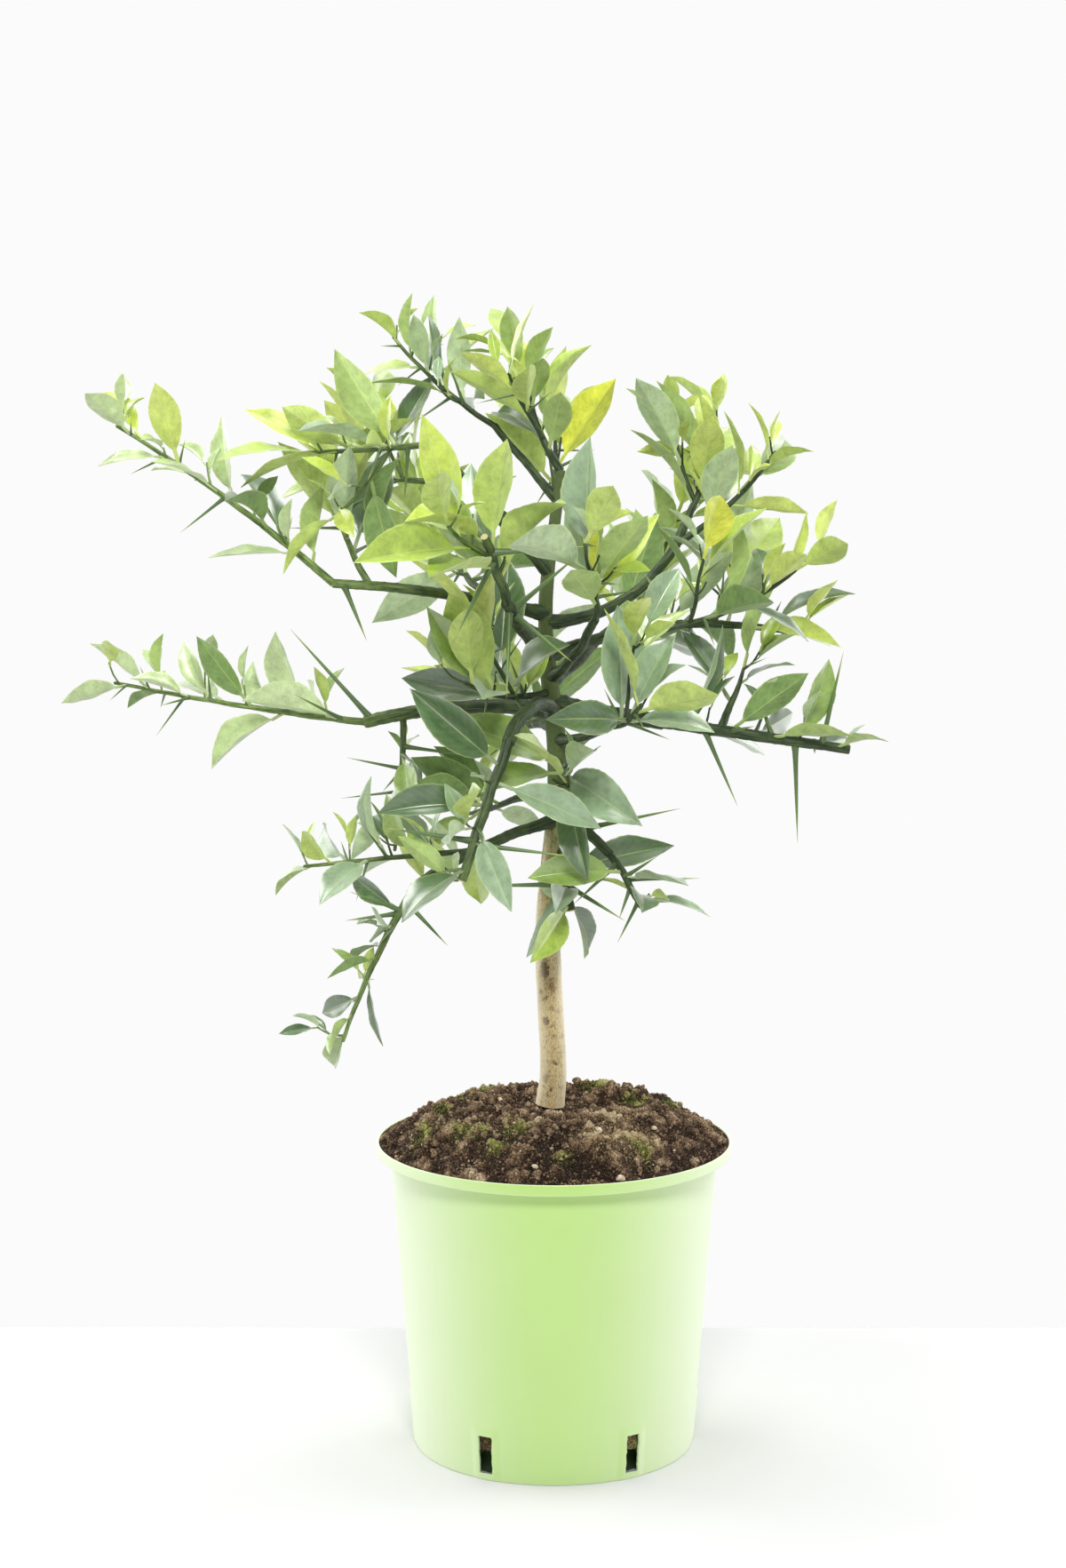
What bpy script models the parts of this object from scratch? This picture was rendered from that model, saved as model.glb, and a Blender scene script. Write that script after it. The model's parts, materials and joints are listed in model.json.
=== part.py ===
"""A young potted yuzu tree, 71 cm tall, in a light green nursery pot.

The origin is the centre of the pot's flat underside. X points to the right and Y away, with the side that is
seen first facing -Y. Lengths are in metres and angles in degrees. The crown grows by a seeded rule: boughs
leave the trunk, a stem goes on from each of them, and its buds bear twigs, thorns and leaves wherever there
is room.
"""

import math
import random
from collections import namedtuple

import bmesh
import bpy
import numpy as np
from mathutils import Vector
from mathutils.bvhtree import BVHTree

# The pot
RIM_RADIUS = 0.110
POT_HEIGHT = 0.1915
FOOT_RADIUS = 0.0872
NECK_RADIUS = 0.1016
POT_WALL = 0.0016
COLLAR_DEPTH = 0.0066
WELL_RADIUS = 0.076
SHELF_RADIUS = 0.0795
SHELF_HEIGHT = 0.0175
SLOT_COUNT = 6
SLOT_TURN = 2
SLOT_WIDTH = 0.0088
SLOT_REACH = 0.0104
SLOT_BOTTOM = 0.004
SLOT_TOP = 0.028
ROUND_STEPS = 32

# The soil
GAP = 0.0003
GROUND = 0.2138
SOIL_EDGE = 0.1898
SOIL_FLAT = 0.058
SOIL_SEAT = 0.014
SOIL_RINGS = 8
CLOD_COUNT = 26
CLOD_SEED = 4
CLOD_HEIGHT = 0.45
CLOD_REACH = (0.03, 0.09)
CLOD_SIZE = (0.006, 0.013)

# The trunk, whose girth is given as height above the ground and radius
TRUNK_HEIGHT = 0.390
TRUNK_STEPS = 24
TRUNK_GIRTH = (
    (0.0, 0.0092), (0.008, 0.0085), (0.036, 0.0080), (0.111, 0.0077), (0.156, 0.0071),
    (0.216, 0.0063), (0.266, 0.0052), (0.296, 0.0045), (0.336, 0.0039), (TRUNK_HEIGHT, 0.0030),
)
WAVE_LENGTH = 0.205
WAVE_START = 0.094
WAVE_DEPTH = 0.0018
WAVE_GROWTH = 1.8
TRUNK_SHIFT = -0.0012
FLARE_LEAN = 0.0028
FLARE_HEIGHT = 0.012

# The growth rule
LIMB_SIDES = 6
TRUNK_SIDES = 12
TEST_SIDES = 5
THORN_SIDES = 3
STEM_SIDES = 4
WELD = 1e-6
BARE_FOOT = 0.012
BARE_SIDE_FOOT = 0.020
BOUGH_BUDS = 0.016
BOUGH_KINK = 5
SHOOT_BUDS = 0.014
SHOOT_KINK = 7
SPIRAL = 137.5
CLEARANCE = 0.0012
TWIG_STEPS = 3
TWIG_BUDS = 3
TWIG_TIP = 0.0010
TWIG_LEAN = (40, 65)
TWIG_LENGTH = (0.035, 0.055)
TWIG_SWING = 60
THORN_CHANCE = 0.55
THORN_REACH = 0.034
THORN_SHRINK = 0.020
THORN_FOOT = 0.0013
LONG_THORN_FOOT = 0.0016
THORN_POINT = 0.0002
THORN_ROOM = 0.003
THORN_SPREAD = (0.7, 1.3)
THORN_SLANT = (0.1, 0.6)
THORN_SWING = 35
PETIOLE = 0.17
PETIOLE_HALF = 0.0012
WIDEST = 0.54
THINNEST_LEAF = 0.0007
LEAF_THICKNESS = 1 / 80
LEAF_LEAN = (35, 75)
LEAF_SWING = 30
LEAF_LIFT = (0.15, 0.75)
LEAF_ROLL = 55
LEAF_SPREAD = (0.82, 1.18)
LEAF_BREADTH = (0.44, 0.60)
LEAF_FOLD = (12, 34)
LEAF_CURL = (4, 38)
YOUNG_LEAN = 20
YOUNG_SHRINK = 0.25
LEAF_TRIES = 8
TWIG_TRIES = 6
THORN_TRIES = 3

Limb = namedtuple("Limb", "name points radii parent")
Leaf = namedtuple("Leaf", "mass root along face length width fold curl age")
Thorn = namedtuple("Thorn", "limb root along length radius")

# A bough leaves the trunk at a distance up it. Its turn and lift are how far its heading and its rise swing
# to either side of their mean between foot and tip. Foot and tip are radii.
Bough = namedtuple("Bough", "name at heading rise length turn lift foot tip")
BOUGHS = (
    Bough("bough_right_low", 0.25, 9, -10, 0.07, -4, 1, 0.0052, 0.0048),
    Bough("bough_right_mid", 0.279, 28, 13, 0.072, -6, -2, 0.0038, 0.0034),
    Bough("bough_right_high", 0.3, 28, 30, 0.118, 14, 30, 0.0038, 0.0028),
    Bough("bough_left_low", 0.246, 166, -5, 0.12, 6, -10, 0.0048, 0.004),
    Bough("bough_left_mid", 0.305, -164, 9, 0.134, -8, -6, 0.0038, 0.0027),
    Bough("bough_left_high", 0.338, 148, 30, 0.092, 4, -14, 0.003, 0.0023),
    Bough("bough_upper_left", 0.33, -140, 42, 0.118, -2, 3, 0.0032, 0.0023),
    Bough("bough_top_left", 0.374, 142, 42, 0.066, 6, 2, 0.0027, 0.0021),
    Bough("bough_front_low", 0.243, -112, -6, 0.082, -6, -40, 0.0044, 0.004),
    Bough("bough_front_high", 0.281, -107, 24, 0.09, 0, 12, 0.0039, 0.0035),
    Bough("bough_front_right", 0.266, -70, 29, 0.085, -8, 6, 0.0032, 0.0025),
    Bough("bough_front_right_low", 0.228, -66, 12, 0.075, 2, 8, 0.003, 0.0024),
    Bough("bough_low_left", 0.178, -141, -15, 0.115, -2, -10, 0.0036, 0.0027),
    Bough("bough_low_right", 0.181, -45, -24, 0.048, -4, -14, 0.0034, 0.003),
    Bough("bough_back_low", 0.232, 98, -2, 0.075, 6, -4, 0.0038, 0.003),
    Bough("bough_back_right", 0.262, 58, 22, 0.07, 6, 4, 0.0034, 0.0027),
    Bough("bough_back_left", 0.29, 124, 20, 0.075, -6, 4, 0.0034, 0.0026),
    Bough("bough_back_high", 0.332, 84, 42, 0.062, 4, 6, 0.003, 0.0023),
    Bough("bough_low_back", 0.19, 118, -6, 0.055, 6, -12, 0.003, 0.0024),
)

# A shoot is the stem of a mass of leaves: it goes on from its parent's tip, or leaves it at a distance.
Shoot = namedtuple("Shoot", "name parent at heading rise length turn lift foot tip leaves twigs size seed")
SHOOTS = (
    Shoot("leaves_right_low", "bough_right_low", None, 5, -9, 0.118, 0, 0, 0.0041, 0.003, 8, 1, 0.062, 57),
    Shoot("leaves_right_mid", "bough_right_mid", None, 20, -4, 0.104, -4, -6, 0.0028, 0.002, 7, 1, 0.068, 113),
    Shoot("leaves_right_fork", "bough_right_mid", 0.054, -12, 22, 0.13, -6, 22, 0.0024, 0.0012, 8, 1, 0.06, 46),
    Shoot("leaves_right_high", "bough_right_high", 0.104, 8, 42, 0.085, 6, 12, 0.0022, 0.0011, 7, 0, 0.056, 174),
    Shoot("leaves_top_right", "bough_right_high", None, 46, 62, 0.052, 10, 8, 0.0026, 0.0014, 7, 2, 0.066, 176),
    Shoot("leaves_left_low", "bough_left_low", None, 160, 6, 0.176, 8, 4, 0.0024, 0.0011, 12, 0, 0.054, 3),
    Shoot("leaves_left_hang", "bough_left_low", 0.096, 182, -86, 0.085, 0, 4, 0.0022, 0.0011, 6, 1, 0.052, 170),
    Shoot("leaves_left_far", "bough_left_mid", None, 179, 36, 0.158, 2, -5, 0.0024, 0.0011, 12, 0, 0.056, 127),
    Shoot("leaves_left_mid", "bough_left_mid", 0.112, 150, 66, 0.072, 0, 12, 0.0022, 0.0011, 6, 1, 0.06, 168),
    Shoot("leaves_left_high", "bough_left_high", None, 166, 6, 0.08, 4, 6, 0.0021, 0.001, 7, 1, 0.06, 125),
    Shoot("leaves_upper_left", "bough_upper_left", None, 172, -4, 0.082, 6, 2, 0.0021, 0.0011, 8, 1, 0.062, 53),
    Shoot("leaves_top_left", "bough_top_left", None, 156, 38, 0.088, 4, 10, 0.0019, 0.001, 8, 1, 0.05, 19),
    Shoot("leaves_top", "trunk", None, 160, 68, 0.058, -30, 12, 0.0027, 0.0012, 8, 2, 0.058, 107),
    Shoot("leaves_front_low", "bough_front_low", None, -128, -60, 0.088, -2, -4, 0.0034, 0.0028, 6, 0, 0.068, 57),
    Shoot("leaves_front_high", "bough_front_high", None, -107, 44, 0.058, 0, 0, 0.0029, 0.0026, 6, 1, 0.072, 24),
    Shoot("leaves_front_mid", "trunk", 0.258, -128, 8, 0.085, 6, 16, 0.0024, 0.0013, 7, 1, 0.072, 23),
    Shoot("leaves_front_right", "bough_front_right", None, -92, 44, 0.036, 0, 10, 0.0022, 0.0014, 6, 1, 0.07, 64),
    Shoot(
        "leaves_front_right_low", "bough_front_right_low", None, -62, 24, 0.04, 0, 20, 0.0022, 0.0014, 6, 1, 0.07, 128
    ),
    Shoot("leaves_low_left", "bough_low_left", None, -154, -62, 0.1, 4, -6, 0.0026, 0.0011, 8, 0, 0.05, 20),
    Shoot("leaves_low_left_out", "bough_low_left", 0.066, 176, -6, 0.105, -8, -2, 0.002, 0.001, 8, 0, 0.05, 145),
    Shoot("leaves_low_right", "bough_low_right", None, -49, -46, 0.04, 0, -6, 0.0025, 0.0019, 5, 0, 0.06, 106),
    Shoot("leaves_low_front", "trunk", 0.166, -66, -62, 0.046, 0, -8, 0.0034, 0.0029, 5, 0, 0.062, 138),
    Shoot("leaves_front_centre", "trunk", 0.214, -84, -8, 0.055, 4, -8, 0.0024, 0.0015, 6, 0, 0.07, 70),
    Shoot("leaves_back_low", "bough_back_low", None, 108, -2, 0.085, 8, 10, 0.0028, 0.0013, 8, 1, 0.064, 186),
    Shoot("leaves_back_right", "bough_back_right", None, 62, 26, 0.085, 8, 12, 0.0025, 0.0012, 8, 2, 0.064, 161),
    Shoot("leaves_back_left", "bough_back_left", None, 116, 24, 0.085, 4, 10, 0.0024, 0.0012, 8, 2, 0.064, 151),
    Shoot("leaves_back_high", "bough_back_high", None, 88, 46, 0.062, 0, 14, 0.0021, 0.0011, 7, 1, 0.06, 28),
    Shoot("leaves_low_back", "bough_low_back", None, 126, -16, 0.06, 4, 6, 0.0022, 0.0011, 6, 0, 0.056, 107),
)

# The thorns that stand out of the outline
LongThorn = namedtuple("LongThorn", "limb at heading rise length")
LONG_THORNS = (
    LongThorn("bough_left_low", 0.116, 176, 48, 0.072),
    LongThorn("bough_right_high", 0.106, 150, 76, 0.052),
    LongThorn("bough_front_high", 0.084, -95, -66, 0.052),
    LongThorn("bough_front_high", 0.078, -35, -32, 0.046),
    LongThorn("bough_front_high", 0.081, -12, 40, 0.05),
    LongThorn("bough_low_right", 0.022, -18, 14, 0.06),
    LongThorn("bough_left_mid", 0.128, -30, -64, 0.034),
    LongThorn("leaves_right_low", 0.026, 10, -66, 0.05),
    LongThorn("leaves_right_low", 0.084, 0, -88, 0.06),
    LongThorn("leaves_right_low", 0.101, 12, 77, 0.056),
    LongThorn("leaves_right_low", 0.07, 160, 70, 0.026),
    LongThorn("leaves_front_high", 0.05, 150, 45, 0.05),
    LongThorn("leaves_front_high", 0.045, -8, 4, 0.058),
    LongThorn("leaves_front_high", 0.038, 200, -62, 0.05),
    LongThorn("leaves_front_low", 0.064, 176, 8, 0.052),
    LongThorn("leaves_front_low", 0.066, -6, -6, 0.054),
    LongThorn("leaves_front_low", 0.08, -160, -40, 0.042),
    LongThorn("leaves_left_hang", 0.02, 0, -8, 0.052),
    LongThorn("leaves_left_hang", 0.034, 170, 10, 0.034),
    LongThorn("leaves_left_hang", 0.048, 186, -6, 0.036),
    LongThorn("leaves_low_front", 0.016, 150, 10, 0.03),
    LongThorn("leaves_low_front", 0.03, 186, 0, 0.058),
    LongThorn("leaves_low_front", 0.03, -20, -28, 0.04),
    LongThorn("leaves_low_right", 0.008, 172, -44, 0.034),
    LongThorn("leaves_low_right", 0.02, -8, 2, 0.042),
    LongThorn("leaves_low_right", 0.036, 196, -62, 0.026),
    LongThorn("leaves_low_left", 0.01, -24, -42, 0.034),
    LongThorn("leaves_low_left", 0.018, 178, -8, 0.03),
    LongThorn("leaves_left_far", 0.082, 186, -38, 0.032),
    LongThorn("leaves_left_low", 0.128, 200, -52, 0.03),
)


def unit(vector):
    return vector / np.linalg.norm(vector)


def bearing(heading, rise):
    """The direction with a heading, where 0 is +X and 90 is +Y, and a rise above the level."""
    heading, rise = math.radians(heading), math.radians(rise)
    level = math.cos(rise)
    return np.array((math.cos(heading) * level, math.sin(heading) * level, math.sin(rise)))


UP = bearing(0, 90)


def around(along, degrees):
    """A direction square to a stem: 0 is its upper side, and the angle turns round the stem."""
    left = np.cross(UP, along)
    if np.linalg.norm(left) < 0.05:
        left = bearing(90, 0)
    left = unit(left - along * np.dot(left, along))
    turn = math.radians(degrees)
    return np.cross(along, left) * math.cos(turn) + left * math.sin(turn)


def distances(limb):
    steps = np.linalg.norm(np.diff(limb.points, axis=0), axis=1)
    return np.concatenate(((0.0,), np.cumsum(steps)))


def spot(limb, distance):
    """The point, the direction and the radius of a limb at a distance from its foot."""
    arc = distances(limb)
    distance = min(max(distance, 0.0), arc[-1])
    step = min(int(np.searchsorted(arc, distance, side="right")), len(arc) - 1)
    along = unit(limb.points[step] - limb.points[step - 1])
    point = limb.points[step - 1] + along * (distance - arc[step - 1])
    return point, along, float(np.interp(distance, arc, limb.radii))


def grow_trunk():
    """The trunk stands up in slow waves that widen upwards, and leans out a little at its flared foot."""
    up = np.linspace(0.0, TRUNK_HEIGHT, TRUNK_STEPS + 1)
    turn = 2 * math.pi * (up - WAVE_START) / WAVE_LENGTH
    sway = WAVE_DEPTH * (1 + WAVE_GROWTH * up / TRUNK_HEIGHT)
    x = TRUNK_SHIFT - sway * np.cos(turn) - FLARE_LEAN * np.exp(-up / FLARE_HEIGHT)
    y = 1.2 * WAVE_DEPTH * np.sin(0.8 * turn)
    heights, radii = zip(*TRUNK_GIRTH)
    return Limb("trunk", np.stack((x, y, GROUND + up), axis=1), np.interp(up, heights, radii), None)


def grow_limb(row, parent, buds, kink):
    """A bough or a shoot turns and lifts evenly as it goes, with a small kink at each bud."""
    steps = max(3, round(row.length / buds))
    points = [parent.points[-1] if row.at is None else spot(parent, row.at)[0]]
    for step in range(steps):
        swing = (2 * step + 1) / steps - 1
        heading = row.heading + row.turn * swing + kink * (-1) ** step
        points.append(points[-1] + bearing(heading, row.rise + row.lift * swing) * row.length / steps)
    return Limb(row.name, np.array(points), np.linspace(row.foot, row.tip, steps + 1), parent.name)


def leaf_station(leaf, share):
    """A point of the midrib, with the directions along, across and out of the leaf's upper side there."""
    bend = leaf.curl * share
    forward = math.sin(bend) / leaf.curl
    drop = (1 - math.cos(bend)) / leaf.curl
    along = leaf.along * math.cos(bend) - leaf.face * math.sin(bend)
    face = leaf.face * math.cos(bend) + leaf.along * math.sin(bend)
    point = leaf.root + leaf.length * (leaf.along * forward - leaf.face * drop)
    return point, along, np.cross(face, along), face


def leaf_rings(leaf):
    """How far along the leaf its rings lie, with their half widths: two on the petiole, one on the blade."""
    return (0.0, PETIOLE_HALF), (PETIOLE, PETIOLE_HALF), (WIDEST, leaf.width * 0.53)


def leaf_shape(leaf, first_ring=0, swell=0.0):
    """A closed leaf, folded up along its midrib: four-sided rings that end in the pointed tip."""
    points, faces = [], []
    rings = leaf_rings(leaf)[first_ring:]
    for share, half in rings:
        point, _, side, face = leaf_station(leaf, share)
        thick = max(THINNEST_LEAF, leaf.length * LEAF_THICKNESS) / 2 + swell
        lift = half * math.tan(leaf.fold)
        if half == PETIOLE_HALF:
            thick = max(thick, half * 0.8)
            lift = 0.0
        edge = side * (half + swell)
        points += [point - edge + face * lift, point - face * thick]
        points += [point + edge + face * lift, point + face * thick]
    points.append(leaf_station(leaf, 1.0)[0] + leaf.along * swell)
    for ring in range(len(rings) - 1):
        for corner in range(4):
            a, b = ring * 4 + corner, ring * 4 + (corner + 1) % 4
            faces.append((a, b, b + 4, a + 4))
    last = len(points) - 5
    faces += [(last + corner, last + (corner + 1) % 4, last + 4) for corner in range(4)]
    faces.append((3, 2, 1, 0))
    return np.array(points), faces


def tube_shape(points, radii, sides, swell=0.0):
    """A closed tube, which stands for a stem, a twig or a thorn in the tests for room."""
    corners, faces = [], []
    for i, (point, radius) in enumerate(zip(points, radii)):
        along = unit(points[min(i + 1, len(points) - 1)] - points[max(i - 1, 0)])
        corners += [point + around(along, 360 * k / sides) * (radius + swell) for k in range(sides)]
    for ring in range(0, len(corners) - sides, sides):
        for k in range(sides):
            a, b = ring + k, ring + (k + 1) % sides
            faces.append((a, b, b + sides, a + sides))
    faces.append(tuple(range(sides - 1, -1, -1)))
    faces.append(tuple(range(len(corners) - sides, len(corners))))
    return np.array(corners), faces


class Room:
    """What has grown already, so that the next twig, thorn or leaf can keep clear of it."""

    def __init__(self):
        self.taken = []

    def outline(self, shape):
        points, faces = shape
        centre = points.mean(axis=0)
        reach = np.linalg.norm(points - centre, axis=1).max()
        return BVHTree.FromPolygons([Vector(point) for point in points], faces), centre, reach

    def take(self, shape):
        self.taken.append(self.outline(shape))

    def is_free(self, shape):
        tree, centre, reach = self.outline(shape)
        for other, middle, span in self.taken:
            if np.linalg.norm(centre - middle) < reach + span and tree.overlap(other):
                return False
        return True


def thorn_grows(thorn, stem_radius, room):
    """Whether the thorn, past its root in the stem, has room, which it then takes."""
    root = thorn.root + thorn.along * (stem_radius + THORN_ROOM)
    ends = np.array((root, thorn.root + thorn.along * thorn.length))
    radii = (thorn.radius, THORN_POINT)
    if not room.is_free(tube_shape(ends, radii, THORN_SIDES, CLEARANCE)):
        return False
    room.take(tube_shape(ends, radii, THORN_SIDES))
    return True


def draw_leaf(row, draw, bud, angle, age):
    """A leaf leans out of its bud and up to the light, with its face rolled a little to one side."""
    point, along, _ = bud
    lean = math.radians(draw.uniform(*LEAF_LEAN) - YOUNG_LEAN * age)
    out = around(along, angle + draw.uniform(-LEAF_SWING, LEAF_SWING))
    size = row.size * (1.05 - YOUNG_SHRINK * age)
    axis = unit(along * math.cos(lean) + out * math.sin(lean) + UP * draw.uniform(*LEAF_LIFT))
    face = along * 0.5 + UP * 0.7 - out * 0.1
    face = face - axis * np.dot(face, axis)
    if np.linalg.norm(face) < 0.1:
        face = np.cross(axis, out)
        face = face - axis * np.dot(face, axis)
    face = unit(face)
    roll = math.radians(draw.uniform(-LEAF_ROLL, LEAF_ROLL))
    face = face * math.cos(roll) + np.cross(axis, face) * math.sin(roll)
    length = size * draw.uniform(*LEAF_SPREAD)
    width = length * (1 - PETIOLE) * draw.uniform(*LEAF_BREADTH)
    fold = math.radians(draw.uniform(*LEAF_FOLD))
    curl = math.radians(draw.uniform(*LEAF_CURL))
    return Leaf(row.name, point, axis, face, length, width, fold, curl, age)


def draw_twig(row, draw, stem, distance, angle):
    """A side twig leaves the stem at a slant and zigzags upwards."""
    point, along, radius = spot(stem, distance)
    lean = math.radians(draw.uniform(*TWIG_LEAN))
    axis = unit(along * math.cos(lean) + around(along, angle) * math.sin(lean) + UP * 0.35)
    length = draw.uniform(*TWIG_LENGTH)
    points = [point]
    for step in range(TWIG_STEPS):
        axis = unit(axis + UP * 0.12 + around(axis, 90) * 0.12 * (-1) ** step)
        points.append(points[-1] + axis * length / TWIG_STEPS)
    radii = np.linspace(radius * 0.75, TWIG_TIP, TWIG_STEPS + 1)
    return Limb(row.name, np.array(points), radii, row.name)


def grow_twigs(row, draw, stem, phase, room):
    """The twigs that have room on the stem, each with the angle at which it leaves."""
    twigs = []
    length = distances(stem)[-1]
    for place in range(row.twigs):
        distance = length * (0.3 + 0.5 * (place + draw.random()) / row.twigs)
        for _ in range(TWIG_TRIES):
            angle = phase + 180 * place + draw.uniform(-TWIG_SWING, TWIG_SWING)
            twig = draw_twig(row, draw, stem, distance, angle)
            free_end = twig.points[1:], twig.radii[1:], TEST_SIDES
            if room.is_free(tube_shape(*free_end, CLEARANCE)):
                room.take(tube_shape(*free_end))
                twigs.append((twig, angle))
                break
    return twigs


def grow_mass(row, limbs, room):
    """Buds climb the stem in a spiral, and its twigs add theirs. Each may bear a thorn and a leaf."""
    draw = random.Random(row.seed)
    stem = limbs[row.name]
    length = distances(stem)[-1]
    phase = draw.uniform(0, 360)
    bare = BARE_FOOT if row.at is None else BARE_SIDE_FOOT
    buds = []
    for k in range(row.leaves):
        share = (k + draw.uniform(0.1, 0.5)) / row.leaves
        buds.append((stem, bare + (length - bare) * share, phase + SPIRAL * k, share))
    twigs = grow_twigs(row, draw, stem, phase, room)
    for twig, angle in twigs:
        reach = distances(twig)[-1]
        for k in range(TWIG_BUDS):
            buds.append((twig, reach * (0.45 + 0.27 * k), angle + SPIRAL * k, 0.4 + 0.3 * k))
    thorns, leaves = [], []
    for limb, distance, angle, age in buds:
        bud = spot(limb, distance)
        if draw.random() < THORN_CHANCE:
            thorns += grow_thorn(row, draw, bud, angle, age, room)
        leaves += grow_leaf(row, draw, bud, angle, age, room)
    return [twig for twig, _ in twigs], thorns, leaves


def grow_thorn(row, draw, bud, angle, age, room):
    point, along, radius = bud
    length = (THORN_REACH - THORN_SHRINK * age) * draw.uniform(*THORN_SPREAD) + radius
    for _ in range(THORN_TRIES):
        side = around(along, angle + draw.uniform(-THORN_SWING, THORN_SWING))
        axis = unit(side + along * draw.uniform(*THORN_SLANT))
        thorn = Thorn(row.name, point, axis, length, min(radius * 0.6, THORN_FOOT))
        if thorn_grows(thorn, radius, room):
            return [thorn]
    return []


def grow_leaf(row, draw, bud, angle, age, room):
    for _ in range(LEAF_TRIES):
        leaf = draw_leaf(row, draw, bud, angle, age)
        if room.is_free(leaf_shape(leaf, 1, CLEARANCE)):
            room.take(leaf_shape(leaf, 1))
            return [leaf]
    return []


def grow_tree():
    """Every limb first, then the long thorns, then the masses one by one in the room that is left."""
    limbs = {"trunk": grow_trunk()}
    for row in BOUGHS:
        limbs[row.name] = grow_limb(row, limbs["trunk"], BOUGH_BUDS, BOUGH_KINK)
    for row in SHOOTS:
        limbs[row.name] = grow_limb(row, limbs[row.parent], SHOOT_BUDS, SHOOT_KINK)
    room = Room()
    for limb in limbs.values():
        room.take(tube_shape(limb.points, limb.radii, LIMB_SIDES))
    twigs, thorns, leaves = [], [], []
    for row in LONG_THORNS:
        point, _, radius = spot(limbs[row.limb], row.at)
        foot = min(radius * 0.6, LONG_THORN_FOOT)
        thorn = Thorn(row.limb, point, bearing(row.heading, row.rise), row.length + radius, foot)
        if thorn_grows(thorn, radius, room):
            thorns.append(thorn)
    for row in SHOOTS:
        for grown, kind in zip(grow_mass(row, limbs, room), (twigs, thorns, leaves)):
            kind += grown
    return limbs, twigs, thorns, leaves


def finish(name, colour, roughness):
    """A plain Principled material."""
    material = bpy.data.materials.new(name)
    material.use_nodes = True
    shader = material.node_tree.nodes["Principled BSDF"]
    shader.inputs["Base Color"].default_value = (*colour, 1.0)
    shader.inputs["Roughness"].default_value = roughness
    shader.inputs["Metallic"].default_value = 0.0
    return material


def add_object(name, mesh, collection):
    obj = bpy.data.objects.new(name, mesh)
    collection.objects.link(obj)
    return obj


def plain_mesh(obj):
    """The mesh of an object as its modifiers leave it, with its loose caps welded."""
    depsgraph = bpy.context.evaluated_depsgraph_get()
    mesh = bpy.data.meshes.new_from_object(obj.evaluated_get(depsgraph))
    build = bmesh.new()
    build.from_mesh(mesh)
    bmesh.ops.remove_doubles(build, verts=build.verts, dist=WELD)
    build.to_mesh(mesh)
    build.free()
    return mesh


def tube_mesh(points, radii, sides):
    """A capped round tube with its own radius at each point, bent from a curve object."""
    curve = bpy.data.curves.new("tube", "CURVE")
    curve.dimensions = "3D"
    curve.bevel_depth = 1.0
    curve.bevel_resolution = (sides - 4) // 2
    curve.use_fill_caps = True
    spline = curve.splines.new("POLY")
    spline.points.add(len(points) - 1)
    for knot, point, radius in zip(spline.points, points, radii):
        knot.co = (*point, 1.0)
        knot.radius = radius
    tube = add_object("tube", curve, bpy.context.scene.collection)
    mesh = plain_mesh(tube)
    bpy.data.objects.remove(tube)
    bpy.data.curves.remove(curve)
    return mesh


def thorn_mesh(thorn):
    """A straight needle whose foot is sunk in its stem."""
    build = bmesh.new()
    bmesh.ops.create_cone(
        build, cap_ends=True, segments=THORN_SIDES, radius1=thorn.radius, radius2=0.0, depth=thorn.length
    )
    turn = Vector((0.0, 0.0, 1.0)).rotation_difference(Vector(thorn.along))
    for vertex in build.verts:
        vertex.co.z += thorn.length / 2
        vertex.co = turn @ vertex.co + Vector(thorn.root)
    mesh = bpy.data.meshes.new("thorn")
    build.to_mesh(mesh)
    build.free()
    return mesh


def leaf_mesh(leaf):
    points, faces = leaf_shape(leaf)
    mesh = bpy.data.meshes.new("leaf")
    mesh.from_pydata([tuple(point) for point in points], [], faces)
    return mesh


def limb_sides(limb):
    return LIMB_SIDES if limb.parent else TRUNK_SIDES


def swollen_mesh(limb):
    """A limb with a gap's width more all round and past its tip, which cuts what grows on it clear."""
    onward = unit(limb.points[-1] - limb.points[-2]) * GAP
    points = np.vstack((limb.points, limb.points[-1] + onward))
    radii = np.append(limb.radii, limb.radii[-1]) + GAP
    return tube_mesh(points, radii, limb_sides(limb))


def largest_body(mesh):
    """Leaves only the largest connected body, so that loose scraps go and sealed hollows are filled."""
    build = bmesh.new()
    build.from_mesh(mesh)
    bodies, seen = [], set()
    for start in build.verts:
        if start in seen:
            continue
        body, edge_of_body = {start}, [start]
        while edge_of_body:
            for edge in edge_of_body.pop().link_edges:
                for vertex in edge.verts:
                    if vertex not in body:
                        body.add(vertex)
                        edge_of_body.append(vertex)
        seen |= body
        bodies.append(body)
    bodies.sort(key=len)
    scraps = [vertex for body in bodies[:-1] for vertex in body]
    bmesh.ops.delete(build, geom=scraps, context="VERTS")
    build.to_mesh(mesh)
    build.free()


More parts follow.
